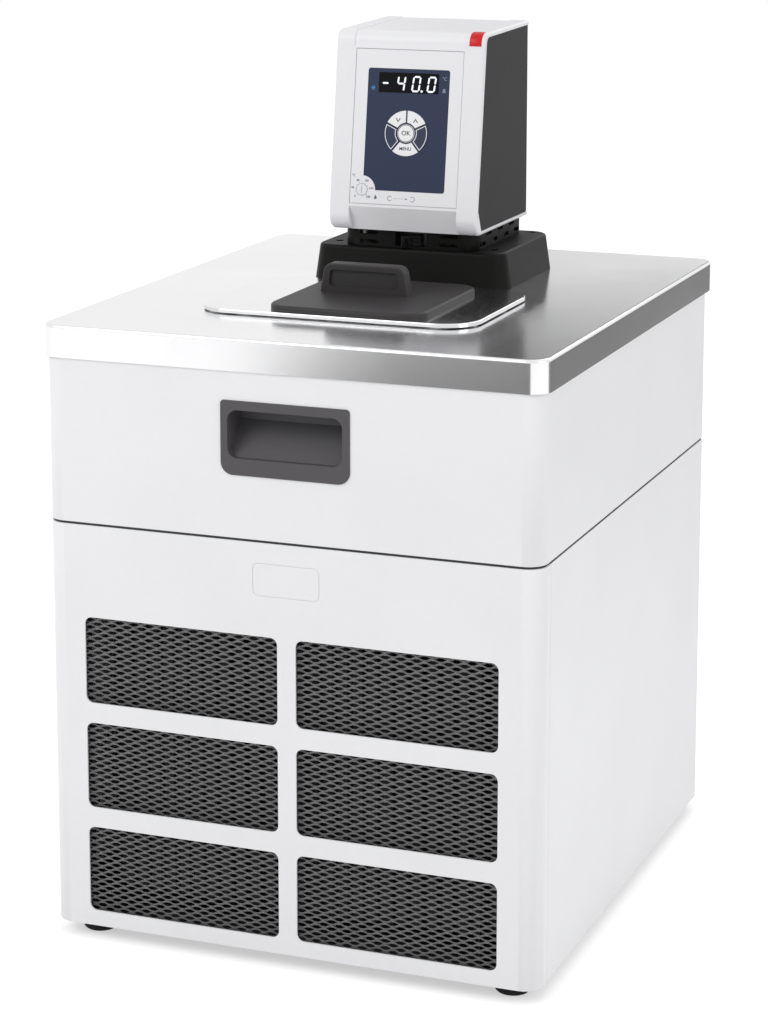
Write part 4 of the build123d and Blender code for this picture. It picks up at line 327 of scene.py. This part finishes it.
def make_streaks():
    """Long fine streaks of a rolled or brushed sheet."""
    tree, start, end = new_group("rolled_streaks", [("Vector", "NodeSocketVector", None),
                                                    ("Stretch", "NodeSocketVector", None)],
                                 [("Height", "NodeSocketFloat")])
    squeeze = tree.nodes.new("ShaderNodeVectorMath")
    squeeze.operation = "MULTIPLY"
    link_nodes(tree, [(start.outputs["Vector"], squeeze.inputs[0]),
                      (start.outputs["Stretch"], squeeze.inputs[1])])
    tree.links.new(add_noise(tree, squeeze.outputs[0], 1.0, 4.0), end.inputs["Height"])
    return tree


drift_group = make_drift()
peel_group = make_peel()
grain_group = make_grain()
streak_group = make_streaks()
print("groups", [group.name for group in bpy.data.node_groups])

# %% [markdown]
# A material starts from the object's own coordinates, in metres, so that a grain has its true size on
# every piece. The drift group changes colour and gloss, and one of the skins feeds the bump. What is the
# same all over, such as the metal or the coat, is set on the shader.

# %% Material makers


def srgb(red, green, blue):
    """Linear colour of an 8-bit screen colour."""
    channels = []
    for value in (red, green, blue):
        share = value / 255
        channels.append(share / 12.92 if share <= 0.04045 else ((share + 0.055) / 1.055) ** 2.4)
    return (*channels, 1.0)


def place_group(tree, group, vector):
    """Group node that reads the given coordinates."""
    node = tree.nodes.new("ShaderNodeGroup")
    node.node_tree = group
    tree.links.new(vector, node.inputs["Vector"])
    return node


def start_material(name, colour, roughness, drift, drift_scale=9.0):
    """Principled material whose colour and gloss drift; returns it with its tree, shader and coordinates."""
    material = bpy.data.materials.new(name)
    material.use_nodes = True
    material.diffuse_color = colour
    tree = material.node_tree
    shader = tree.nodes["Principled BSDF"]
    vector = tree.nodes.new("ShaderNodeTexCoord").outputs["Object"]
    tone = place_group(tree, drift_group, vector)
    tone.inputs["Color"].default_value = colour
    tone.inputs["Roughness"].default_value = roughness
    tone.inputs["Amount"].default_value = drift
    tone.inputs["Scale"].default_value = drift_scale
    link_nodes(tree, [(tone.outputs["Color"], shader.inputs["Base Color"]),
                      (tone.outputs["Roughness"], shader.inputs["Roughness"])])
    return material, tree, shader, vector


def add_bump(tree, shader, height, depth, strength=1.0):
    """Bump of a given depth in metres."""
    bump = tree.nodes.new("ShaderNodeBump")
    bump.inputs["Distance"].default_value = depth
    bump.inputs["Strength"].default_value = strength
    link_nodes(tree, [(height, bump.inputs["Height"]), (bump.outputs[0], shader.inputs["Normal"])])


def coated(name, colour, roughness=0.4, drift=0.035, peel=0.00003):
    """Powder-coated sheet."""
    material, tree, shader, vector = start_material(name, colour, roughness, drift)
    skin = place_group(tree, peel_group, vector)
    add_bump(tree, shader, skin.outputs["Height"], peel)
    return material


def moulded(name, colour, roughness=0.5, drift=0.05, grain=0.00003, scale=1400.0, gloss=0.5):
    """Moulded plastic or rubber with a fine grain; a low gloss keeps dark plastics dark."""
    material, tree, shader, vector = start_material(name, colour, roughness, drift)
    shader.inputs["Specular IOR Level"].default_value = gloss
    skin = place_group(tree, grain_group, vector)
    skin.inputs["Scale"].default_value = scale
    add_bump(tree, shader, skin.outputs["Height"], grain)
    return material


def metal(name, colour, roughness=0.3, drift=0.08, stretch=(60.0, 2600.0, 2600.0), depth=0.000006):
    """Bare metal with streaks; a small stretch along one axis makes them long that way."""
    material, tree, shader, vector = start_material(name, colour, roughness, drift)
    skin = place_group(tree, streak_group, vector)
    skin.inputs["Stretch"].default_value = stretch
    shader.inputs["Metallic"].default_value = 1.0
    add_bump(tree, shader, skin.outputs["Height"], depth)
    return material


# %% [markdown]
# The finishes, each for its own slot of the record. The cabinet's coat is a cool white. The steel top is
# a rolled sheet with its streaks from side to side. The head is light grey in front and near black behind,
# and what stands in the bath is bright steel and pale plastic. The base pan and the condenser fins are dark
# as painted shade: their tone stands in for the shade inside the cabinet, seen through the grille.

# %% Finishes
finishes = {
    "casing_paint": coated("casing_paint", srgb(240, 240, 242), 0.45),
    "top_steel": metal("top_steel", (0.82, 0.82, 0.83, 1.0), 0.17, drift=0.05),
    "cover_steel": metal("cover_steel", (0.80, 0.80, 0.81, 1.0), 0.14, 0.05, (60.0, 2200.0, 2200.0)),
    "tank_steel": metal("tank_steel", (0.62, 0.63, 0.64, 1.0), 0.26, stretch=(900.0, 900.0, 60.0)),
    "head_light": moulded("head_light", srgb(232, 232, 235), 0.42, drift=0.03, gloss=0.4),
    "head_dark": moulded("head_dark", srgb(46, 44, 45), 0.5, grain=0.00004, gloss=0.12),
    "black_moulding": moulded("black_moulding", srgb(18, 17, 16), 0.45, gloss=0.1),
    "lid_plastic": moulded("lid_plastic", srgb(54, 52, 53), 0.45, gloss=0.2),
    "grip_plastic": moulded("grip_plastic", srgb(84, 82, 85), 0.5, grain=0.00005, scale=1000.0, gloss=0.3),
    "grille_metal": coated("grille_metal", srgb(122, 121, 122), 0.26, peel=0.00002),
    # Painted shade: the base pan is dark grey for the shade inside the cabinet behind the grille.
    "pan_metal": coated("pan_metal", srgb(48, 48, 50), 0.5),
    "shroud_metal": coated("shroud_metal", srgb(34, 34, 36), 0.5),
    "motor_metal": metal("motor_metal", (0.45, 0.46, 0.47, 1.0), 0.42),
    "compressor_paint": coated("compressor_paint", srgb(26, 26, 27), 0.28, peel=0.00005),
    "fan_plastic": moulded("fan_plastic", srgb(30, 30, 31), 0.5, gloss=0.3),
    "foot_rubber": moulded("foot_rubber", srgb(38, 38, 38), 0.75, grain=0.00006, scale=900.0, gloss=0.2),
    "foam_block": moulded("foam_block", srgb(196, 190, 160), 0.9, grain=0.0003, scale=420.0, gloss=0.2),
    "copper_line": metal("copper_line", (0.80, 0.42, 0.28, 1.0), 0.34, stretch=(400.0, 400.0, 400.0)),
    # Painted shade: the condenser fins are near black for the shade behind the grille.
    "fin_metal": coated("fin_metal", srgb(26, 26, 27), 0.6),
    "bright_steel": metal("bright_steel", (0.70, 0.71, 0.72, 1.0), 0.2, stretch=(1200.0, 1200.0, 1200.0)),
    "pump_plastic": moulded("pump_plastic", srgb(196, 192, 180), 0.5),
    "float_plastic": moulded("float_plastic", srgb(226, 222, 206), 0.5),
    "valve_brass": metal("valve_brass", (0.72, 0.54, 0.26, 1.0), 0.3),
    "knob_plastic": moulded("knob_plastic", srgb(36, 36, 37), 0.45, gloss=0.3),
    "relay_plastic": moulded("relay_plastic", srgb(150, 152, 155), 0.55),
    "inlet_plastic": moulded("inlet_plastic", srgb(24, 24, 25), 0.4, gloss=0.3),
    "board_green": moulded("board_green", srgb(22, 84, 52), 0.5),
    "screen_blue": moulded("screen_blue", srgb(52, 60, 82), 0.3, drift=0.03, grain=0.000012, gloss=0.12),
    "display_black": moulded("display_black", srgb(10, 11, 14), 0.2, drift=0.02, grain=0.000004, gloss=0.1),
    "key_white": moulded("key_white", srgb(236, 237, 239), 0.42, drift=0.03, grain=0.000012, gloss=0.3),
    "key_dark": moulded("key_dark", srgb(58, 66, 86), 0.36, drift=0.03, grain=0.000012, gloss=0.12),
    "dial_plastic": moulded("dial_plastic", srgb(230, 230, 233), 0.4, gloss=0.3),
    "light_red": moulded("light_red", srgb(206, 26, 28), 0.3, drift=0.06, grain=0.000008, gloss=0.25),
}


def dress(node, material):
    """Gives every material slot of a node the finish."""
    mesh = node.data
    if not mesh.materials:
        mesh.materials.append(material)
    for index in range(len(mesh.materials)):
        mesh.materials[index] = material


slot_of = {part["node"]: part["material_slot"] for part in frame["record"]["subparts"]}
for label, node in frame["nodes"].items():
    dress(node, finishes[slot_of[label]])
print("finishes", len(finishes), "on", len(slot_of), "nodes")

# %% [markdown]
# Folded sheet and mouldings have no knife edges: a small round catches a line of light along each. The
# solids' meshes are left as they are, and a Weld and a Bevel modifier round them when they are drawn. The
# rear panel keeps its sharp edge: a bevel there pulls creases out of its screw holes.

# %% Rounded edges
EDGE_ROUNDS = {
    "front_panel": 0.5, "bath_casing": 0.5, "side_panel_left": 0.5, "side_panel_right": 0.5,
    "vent_neck": 0.4, "flow_lever": 0.4, "fascia": 0.2, "screen": 0.12,
    "key_ok": 0.25, "key_up": 0.25, "key_down": 0.25, "key_left": 0.25, "key_menu": 0.25,
    "key_right": 0.25, "cutoff_dial": 0.2, "mains_rocker": 0.4, "drain_knob": 0.5, "screws": 0.3,
    "hose_ports": 0.4, "status_light": 0.2,
}
ROUND_ANGLE = math.radians(32)


def round_edges(node, width):
    """Rounds a node's hard edges when it is drawn."""
    weld = node.modifiers.new("weld", "WELD")
    weld.merge_threshold = 0.00001
    bevel = node.modifiers.new("edge_round", "BEVEL")
    bevel.width = width * MM
    bevel.segments = 2
    bevel.limit_method = "ANGLE"
    bevel.angle_limit = ROUND_ANGLE
    bevel.use_clamp_overlap = True
    bevel.harden_normals = True


for label, width in EDGE_ROUNDS.items():
    round_edges(frame["nodes"][label], width)
print("rounded", len(EDGE_ROUNDS), "nodes")

# %% [markdown]
# Expanded metal is slit and stretched in one go. Each strand runs from a knuckle to the next one half a
# diamond up or down, and leans, so that its top edge stands forward. The solid has coarse diamonds. Here
# the sheet gets its true pitch: short strands and knuckles as one mesh, repeated over the sheet. On each
# knuckle sits a small bar of brighter metal, a painted highlight that stands in for the lamps' glint on it.

# %% Expanded metal
DIAMOND_LENGTH = 12.9 * MM
DIAMOND_HEIGHT = 5.9 * MM
STRAND_WIDTH = 2.0 * MM
STRAND_THICKNESS = 0.7 * MM
STRAND_LEAN = 0.6 * MM
KNUCKLE_LENGTH = 2.8 * MM
KNUCKLE_HEIGHT = 3.3 * MM
# Size and set-back of the painted highlight: a small bright metal bar on each knuckle, in place of the
# lamps' glint.
HIGHLIGHT_BAR_LENGTH = 1.1 * MM
HIGHLIGHT_BAR_HEIGHT = 1.5 * MM
HIGHLIGHT_BAR_PROUD = 0.12 * MM
RIM_WIDTH = 3.0 * MM
EDGE_SLACK = 0.1 * MM
BOX_FACES = [(0, 1, 5, 4), (1, 2, 6, 5), (2, 3, 7, 6), (3, 0, 4, 7)]


def leaning_bar(vertices, faces, start, end, height, lean):
    """Bar between two points whose top edge leans forward."""
    first = len(vertices)
    for x, y, z in (start, end):
        for rise, depth in ((0.5, -0.5), (0.5, 0.5), (-0.5, 0.5), (-0.5, -0.5)):
            vertices.append((x, y + depth * STRAND_THICKNESS - 2 * rise * lean, z + rise * height))
    faces.extend(tuple(first + corner for corner in face) for face in BOX_FACES)


def expanded_sheet():
    """The grille's sheet with its rim and the knuckles' painted highlight bars, in the place of the coarse
    solid.
    """
    low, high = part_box("grille_mesh")
    y = high.y - STRAND_THICKNESS / 2 - STRAND_LEAN
    step = DIAMOND_LENGTH / 2
    columns = int((high.x - low.x - 2 * RIM_WIDTH) / step)
    rows = int((high.z - low.z - 2 * RIM_WIDTH) / DIAMOND_HEIGHT)
    left = (low.x + high.x - columns * step) / 2
    bottom = (low.z + high.z - rows * DIAMOND_HEIGHT) / 2
    vertices = []
    faces = []
    painted_highlight_faces = set()
    for column in range(columns + 1):
        x = left + column * step
        odd = column % 2
        for row in range(rows + odd):
            z = bottom + (row + 0.5 - 0.5 * odd) * DIAMOND_HEIGHT
            leaning_bar(vertices, faces, (x - KNUCKLE_LENGTH / 2, y, z), (x + KNUCKLE_LENGTH / 2, y, z),
                        KNUCKLE_HEIGHT, STRAND_LEAN)
            # Painted highlight: a small bright metal bar on the knuckle's upper left stands in for a lamp's
            # glint.
            highlight_centre = (x - KNUCKLE_LENGTH / 2 + HIGHLIGHT_BAR_LENGTH / 2, y - HIGHLIGHT_BAR_PROUD, z + HIGHLIGHT_BAR_HEIGHT / 2)
            painted_highlight_faces.update(range(len(faces), len(faces) + len(BOX_FACES)))
            leaning_bar(vertices, faces, (highlight_centre[0] - HIGHLIGHT_BAR_LENGTH / 2, highlight_centre[1], highlight_centre[2]),
                        (highlight_centre[0] + HIGHLIGHT_BAR_LENGTH / 2, highlight_centre[1], highlight_centre[2] - HIGHLIGHT_BAR_HEIGHT / 4),
                        HIGHLIGHT_BAR_HEIGHT, STRAND_LEAN)
            if column == columns:
                continue
            for rise in (-0.5, 0.5):
                end = z + rise * DIAMOND_HEIGHT
                if bottom - EDGE_SLACK <= end <= bottom + rows * DIAMOND_HEIGHT + EDGE_SLACK:
                    leaning_bar(vertices, faces, (x, y, z), (x + step, y, end), STRAND_WIDTH, STRAND_LEAN)
    for z in (low.z + RIM_WIDTH / 2, high.z - RIM_WIDTH / 2):
        leaning_bar(vertices, faces, (low.x, y, z), (high.x, y, z), RIM_WIDTH, 0.0)
    for x in (low.x + RIM_WIDTH / 2, high.x - RIM_WIDTH / 2):
        first = len(vertices)
        for z in (low.z, high.z):
            for side, depth in ((0.5, -0.5), (0.5, 0.5), (-0.5, 0.5), (-0.5, -0.5)):
                vertices.append((x + side * RIM_WIDTH, y + depth * STRAND_THICKNESS, z))
        faces.extend(tuple(first + corner for corner in face) for face in BOX_FACES)
    mesh = bpy.data.meshes.new("expanded_sheet")
    mesh.from_pydata(vertices, [], faces)
    mesh.materials.append(finishes["grille_metal"])
    # The second finish is the bright metal of the painted highlight bars.
    mesh.materials.append(metal("knuckle_painted_highlight", (0.86, 0.86, 0.87, 1.0), 0.3))
    for index in painted_highlight_faces:
        mesh.polygons[index].material_index = 1
    sheet = bpy.data.objects.new("expanded_sheet", mesh)
    bpy.context.scene.collection.objects.link(sheet)
    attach(sheet, "cabinet")
    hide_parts("grille_mesh")
    return len(faces)


print("expanded metal faces", expanded_sheet())

# %% [markdown]
# The control head's marks are printed or lit from behind, save one thin grey line of painted shade round
# the fascia. Each is a flat outline with the thickness of ink, laid on the leaning fascia, or on the key
# that carries it, so that it moves with the key. Numbers on the display are drawn as lit bars, which lean a
# little to the right.

# %% Marks
FASCIA_FOOT = Vector((0.0, 10.45 * MM, 575.3 * MM))
LEAN = math.radians(8.16)
FACE = -0.3
KEY_FACE = 0.5
INK = 0.02
KEYPAD_UP = 60.6
TURN = Matrix(((1, 0, 0), (0, math.sin(LEAN), -math.cos(LEAN)), (0, math.cos(LEAN), math.sin(LEAN))))


def ink(name, colour, roughness=0.5):
    """Printed ink, and the grey of the seam's painted shade: even, with a slight mottle."""
    return moulded(name, colour, roughness, drift=0.02, grain=0.000004)


def lit(name, colour, level):
    """Lit segment: glows evenly through the screen, with a slight change of tone from bar to bar."""
    material, tree, shader, vector = start_material(name, colour, 0.4, 0.03, 60.0)
    glow = place_group(tree, drift_group, vector)
    glow.inputs["Color"].default_value = colour
    glow.inputs["Amount"].default_value = 0.05
    tree.links.new(glow.outputs["Color"], shader.inputs["Emission Color"])
    shader.inputs["Emission Strength"].default_value = level
    return material


ink_dark = ink("ink_dark", srgb(34, 38, 48))
ink_white = ink("ink_white", srgb(236, 238, 242))
ink_grey = ink("ink_grey", srgb(96, 98, 104))
ink_slate = ink("ink_slate", srgb(120, 130, 150))
# Painted shade: this grey line stands in for the shadow in the gap round the fascia.
painted_seam_shade = ink("painted_seam_shade", srgb(164, 165, 168))
ink_blue = ink("ink_blue", srgb(70, 140, 205))
digit_white = lit("digit_white", srgb(236, 242, 250), 0.25)


def on_fascia(x, up, face=FACE):
    """Place of a flat mark on the fascia, in mm across and up it."""
    return Matrix.Translation(FASCIA_FOOT + TURN @ (Vector((x, up, face + 2 * INK)) * MM)) @ TURN.to_4x4()


def finish_mark(name, curve, place, body, material):
    """Links a mark, gives it its ink or painted shade and lets it ride."""
    curve.extrude = INK * MM
    curve.materials.append(material)
    piece = bpy.data.objects.new(name, curve)
    piece.matrix_world = place
    bpy.context.scene.collection.objects.link(piece)
    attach(piece, body)


def outline_mark(name, outlines, place, body, material):
    """Filled flat mark; an outline inside another one is a hole. Sizes in mm."""
    curve = bpy.data.curves.new(name, "CURVE")
    curve.dimensions = "2D"
    curve.fill_mode = "BOTH"
    for outline in outlines:
        spline = curve.splines.new("POLY")
        spline.points.add(len(outline) - 1)
        for point, (x, y) in zip(spline.points, outline):
            point.co = (x * MM, y * MM, 0.0, 1.0)
        spline.use_cyclic_u = True
    finish_mark(name, curve, place, body, material)


def word_mark(name, text, size, place, body, material, weight=0.05):
    """Printed word about its own middle, thickened by weight. Sizes in mm."""
    curve = bpy.data.curves.new(name, "FONT")
    curve.body = text
    curve.size = size * MM
    curve.align_x = "CENTER"
    curve.align_y = "CENTER"
    curve.offset = weight * MM
    finish_mark(name, curve, place, body, material)


def arc(radius, start, end, steps=24):
    """Points on a circle between two angles in degrees."""
    angles = [math.radians(start + (end - start) * step / steps) for step in range(steps + 1)]
    return [(radius * math.cos(angle), radius * math.sin(angle)) for angle in angles]


def band(radius, width, start, end):
    """Outline of a bent strip between two angles."""
    return arc(radius + width / 2, start, end) + arc(radius - width / 2, end, start)


def stroke(points, width):
    """Outline of a stroke of even width along a line of points."""
    left = []
    right = []
    for index, (x, y) in enumerate(points):
        before = points[max(index - 1, 0)]
        after = points[min(index + 1, len(points) - 1)]
        run = Vector((after[0] - before[0], after[1] - before[1])).normalized()
        side = Vector((-run.y, run.x)) * width / 2
        left.append((x + side.x, y + side.y))
        right.append((x - side.x, y - side.y))
    return left + right[::-1]


# %% [markdown]
# The display shows minus forty: a minus bar, three seven-bar digits and a point. The bars of a digit are
# numbered from the top round to the middle, and a digit is only the list of bars that it lights.

# %% Display
DIGIT_WIDTH = 5.9
DIGIT_HEIGHT = 12.0
BAR = 1.5
BAR_GAP = 0.2
DIGIT_LEAN = 0.125
DIGIT_FOOT = 96.0
LIT_BARS = {"4": "bcfg", "0": "abcdef", "-": "g"}
READING = [("-", -24.2), ("4", -10.3), ("0", 3.2), ("0", 16.8)]
POINT_PLACE = (11.9, 0.1)
POINT_RADIUS = 1.0
DEGREE_PLACE = (31.8, 107.0)
BELL_PLACE = (31.7, 97.0)
FLAKE_PLACE = (-31.3, 97.7)
FLAKE_RADIUS = 2.1
FLAKE_WIDTH = 0.5


def bar_ends(bar):
    """Two ends of one bar of a digit."""
    half = DIGIT_HEIGHT / 2
    top = 2 * half
    right = DIGIT_WIDTH
    ends = {
        "a": ((0, top), (right, top)),
        "b": ((right, top), (right, half)),
        "c": ((right, half), (right, 0)),
        "d": ((right, 0), (0, 0)),
        "e": ((0, 0), (0, half)),
        "f": ((0, half), (0, top)),
        "g": ((0, half), (right, half)),
    }
    return ends[bar]


def bar_outline(bar, left):
    """Pointed bar, leaning with the digit."""
    (x0, y0), (x1, y1) = bar_ends(bar)
    run = Vector((x1 - x0, y1 - y0)).normalized()
    side = Vector((-run.y, run.x)) * BAR / 2
    tips = []
    for x, y, sense in ((x0, y0, 1), (x1, y1, -1)):
        inner = Vector((x, y)) + run * sense * (BAR / 2 + BAR_GAP)
        tip = Vector((x, y)) + run * sense * BAR_GAP
        tips.append((inner + side * sense, tip, inner - side * sense))
    points = [tips[0][0], tips[0][1], tips[0][2], tips[1][0], tips[1][1], tips[1][2]]
    return [(left + point.x + DIGIT_LEAN * point.y, point.y) for point in points]


def show_digits():
    """The temperature reading."""
    outlines = []
    for sign, left in READING:
        outlines += [bar_outline(bar, left) for bar in LIT_BARS[sign]]
    point = arc(POINT_RADIUS, 0, 360)[:-1]
    outlines.append([(x + POINT_PLACE[0], y + POINT_PLACE[1]) for x, y in point])
    outline_mark("display_digits", outlines, on_fascia(0, DIGIT_FOOT), "cabinet", digit_white)


show_digits()
word_mark("degree_mark", "°C", 4.0, on_fascia(*DEGREE_PLACE), "cabinet", ink_slate)
bell = [(-1.9, -1.2), (-1.3, -0.6), (-1.2, 0.7)] + arc(1.2, 180, 0, 12)[1:-1]
bell = [(x, y + 0.7) if index > 2 else (x, y) for index, (x, y) in enumerate(bell)]
bell += [(1.2, 0.7), (1.3, -0.6), (1.9, -1.2)]
clapper = [(-0.6, -1.5), (0.6, -1.5), (0.0, -2.1)]
outline_mark("bell_mark", [bell, clapper], on_fascia(*BELL_PLACE), "cabinet", ink_slate)
for index, turn in enumerate((0, 60, 120)):
    across = FLAKE_RADIUS * math.cos(math.radians(turn))
    along = FLAKE_RADIUS * math.sin(math.radians(turn))
    arm = stroke([(-across, -along), (across, along)], FLAKE_WIDTH)
    outline_mark(f"cooling_mark_{index}", [arm], on_fascia(*FLAKE_PLACE), "cabinet", ink_blue)
print("display marks done")

# %% [markdown]
# The keys carry dark print on white, and a white outline on the dark ones. The round key has a dark ring
# just inside its edge.

# %% Keypad marks
KEY_OUTER = 19.0
KEY_INNER = 8.9
KEY_RIB = 1.4
LINE_INSETS = (0.25, 0.85)
CHEVRON_HALF = 2.3
CHEVRON_RISE = 3.2
CHEVRON_WIDTH = 1.0
CHEVRON_NOTCH = 1.1
OK_RING = (7.3, 6.8)


def on_key(x, up):
    """Place of a mark on the keys' faces, in mm from the keypad's middle."""
    return on_fascia(x, KEYPAD_UP + up, KEY_FACE)


def chevron(half_width, rise, width):
    """Pointed stroke, up for a positive rise."""
    notch = rise - math.copysign(width * CHEVRON_NOTCH, rise)
    return [(-half_width, 0), (0, rise), (half_width, 0), (half_width - width, 0), (0, notch),
            (-half_width + width, 0)]


def key_outline(start, end):
    """White line just inside the edge of a ring-shaped key between two angles."""
    lines = []
    for inset in LINE_INSETS:
        outer = KEY_OUTER - inset
        inner = KEY_INNER + inset
        half_rib = KEY_RIB / 2 + inset
        trim = math.degrees(math.asin(half_rib / outer))
        inner_trim = math.degrees(math.asin(half_rib / inner))
        lines.append(arc(outer, start + trim, end - trim) + arc(inner, end - inner_trim, start + inner_trim))
    return lines


word_mark("ok_word", "OK", 5.4, on_key(0.1, 0.0), "key_ok_body", ink_dark)
word_mark("menu_word", "MENU", 3.9, on_key(0.2, -13.0), "key_menu_body", ink_dark)
outline_mark("down_mark", [chevron(CHEVRON_HALF, -CHEVRON_RISE, CHEVRON_WIDTH)], on_key(-7.4, 12.4),
             "key_down_body", ink_dark)
outline_mark("up_mark", [chevron(CHEVRON_HALF, CHEVRON_RISE, CHEVRON_WIDTH)], on_key(8.1, 9.3),
             "key_up_body", ink_dark)
outline_mark("ok_ring", [arc(radius, 0, 360, 64)[:-1] for radius in OK_RING], on_key(0, 0), "key_ok_body",
             ink_dark)
outline_mark("left_key_line", key_outline(154.5, 231.0), on_key(0, 0), "key_left_body", ink_white)
outline_mark("right_key_line", key_outline(-51.0, 25.5), on_key(0, 0), "key_right_body", ink_white)
print("key marks done")

# %% [markdown]
# Below the keys are the scale of the cut-off dial, a drop for the liquid level and the sign of the
# circulating flow, all printed small. Round the fascia runs a thin grey line of painted shade, which stands
# in for the shadow in the gap where the fascia meets the frame.

# %% Small prints
DIAL_PLACE = (-37.1, 12.0)
SCALE_RADIUS = 8.4
SCALE_VALUES = ["0", "40", "80", "100", "150", "200"]
SCALE_START = 225
SCALE_SPAN = 270
TICKS = 11
TICK_ENDS = (5.5, 6.4)
RING_RADII = (5.1, 4.85)
# Size of the painted shade line round the fascia's edge.
SEAM_HALF = 47.85
SEAM_LOW = 0.2
SEAM_HIGH = 130.3
SEAM_WIDTH = 0.3
ROCKER_X = -145.0
ROCKER_Y = 238.6
ROCKER_WORDS = {"rocker_on": ("I", 68.2), "rocker_off": ("O", 55.8)}


def print_scale():
    """Numbers and ticks round the cut-off dial."""
    for index, value in enumerate(SCALE_VALUES):
        angle = math.radians(SCALE_START - index * SCALE_SPAN / (len(SCALE_VALUES) - 1))
        x = DIAL_PLACE[0] + SCALE_RADIUS * math.cos(angle)
        up = DIAL_PLACE[1] + SCALE_RADIUS * math.sin(angle)
        word_mark(f"scale_{value}", value, 2.6, on_fascia(x, up), "cabinet", ink_grey)
    ticks = []
    for index in range(TICKS):
        angle = math.radians(SCALE_START - index * SCALE_SPAN / (TICKS - 1))
        ends = [(radius * math.cos(angle), radius * math.sin(angle)) for radius in TICK_ENDS]
        ticks.append(stroke(ends, 0.25))
    outline_mark("scale_ticks", ticks, on_fascia(*DIAL_PLACE), "cabinet", ink_grey)
    outline_mark("dial_ring", [arc(radius, 0, 360, 48)[:-1] for radius in RING_RADII],
                 on_fascia(*DIAL_PLACE), "cabinet", ink_grey)
    word_mark("scale_unit", "°C", 2.8, on_fascia(-45.0, 23.6), "cabinet", ink_grey)


def print_flow():
    """Sign of the circulating flow: two open arcs, a dotted line and an arrow."""
    loops = [band(2.0, 0.4, 40, 320), [(x + 20.0, y) for x, y in band(2.0, 0.4, -140, 140)]]
    dots = [[(4.0 + 2.2 * step + x, y) for x, y in arc(0.35, 0, 360, 10)[:-1]] for step in range(5)]
    arrow = [(14.0, 0.9), (15.6, 0.0), (14.0, -0.9)]
    outline_mark("flow_mark", loops + dots + [arrow], on_fascia(-11.6, 5.7), "cabinet", ink_grey)


def paint_seam_shade():
    """Painted shade: a thin grey line where the fascia's edge meets the frame, in place of the shadow in the
    gap.
    """
    rim = []
    inner = []
    for side, up, sense in ((-1, SEAM_LOW, 1), (1, SEAM_LOW, 1), (1, SEAM_HIGH, -1), (-1, SEAM_HIGH, -1)):
        rim.append((side * SEAM_HALF, up))
        inner.append((side * (SEAM_HALF - SEAM_WIDTH), up + sense * SEAM_WIDTH))
    outline_mark("fascia_seam_shade", [rim, inner], on_fascia(0, 0), "cabinet", painted_seam_shade)


print_scale()
print_flow()
paint_seam_shade()
drop = [(0.0, 2.2)] + [(x, y - 0.3) for x, y in arc(1.25, 20, -200, 20)]
outline_mark("level_mark", [drop], on_fascia(-24.6, 6.0), "cabinet", ink_grey)
to_rear = Matrix.Rotation(math.pi, 4, "Z") @ Matrix.Rotation(math.pi / 2, 4, "X")
for name, (word, up) in ROCKER_WORDS.items():
    place = Matrix.Translation(Vector((ROCKER_X, ROCKER_Y, up)) * MM) @ to_rear
    word_mark(name, word, 5.0, place, "mains_rocker_body", ink_white)
print("small prints done")
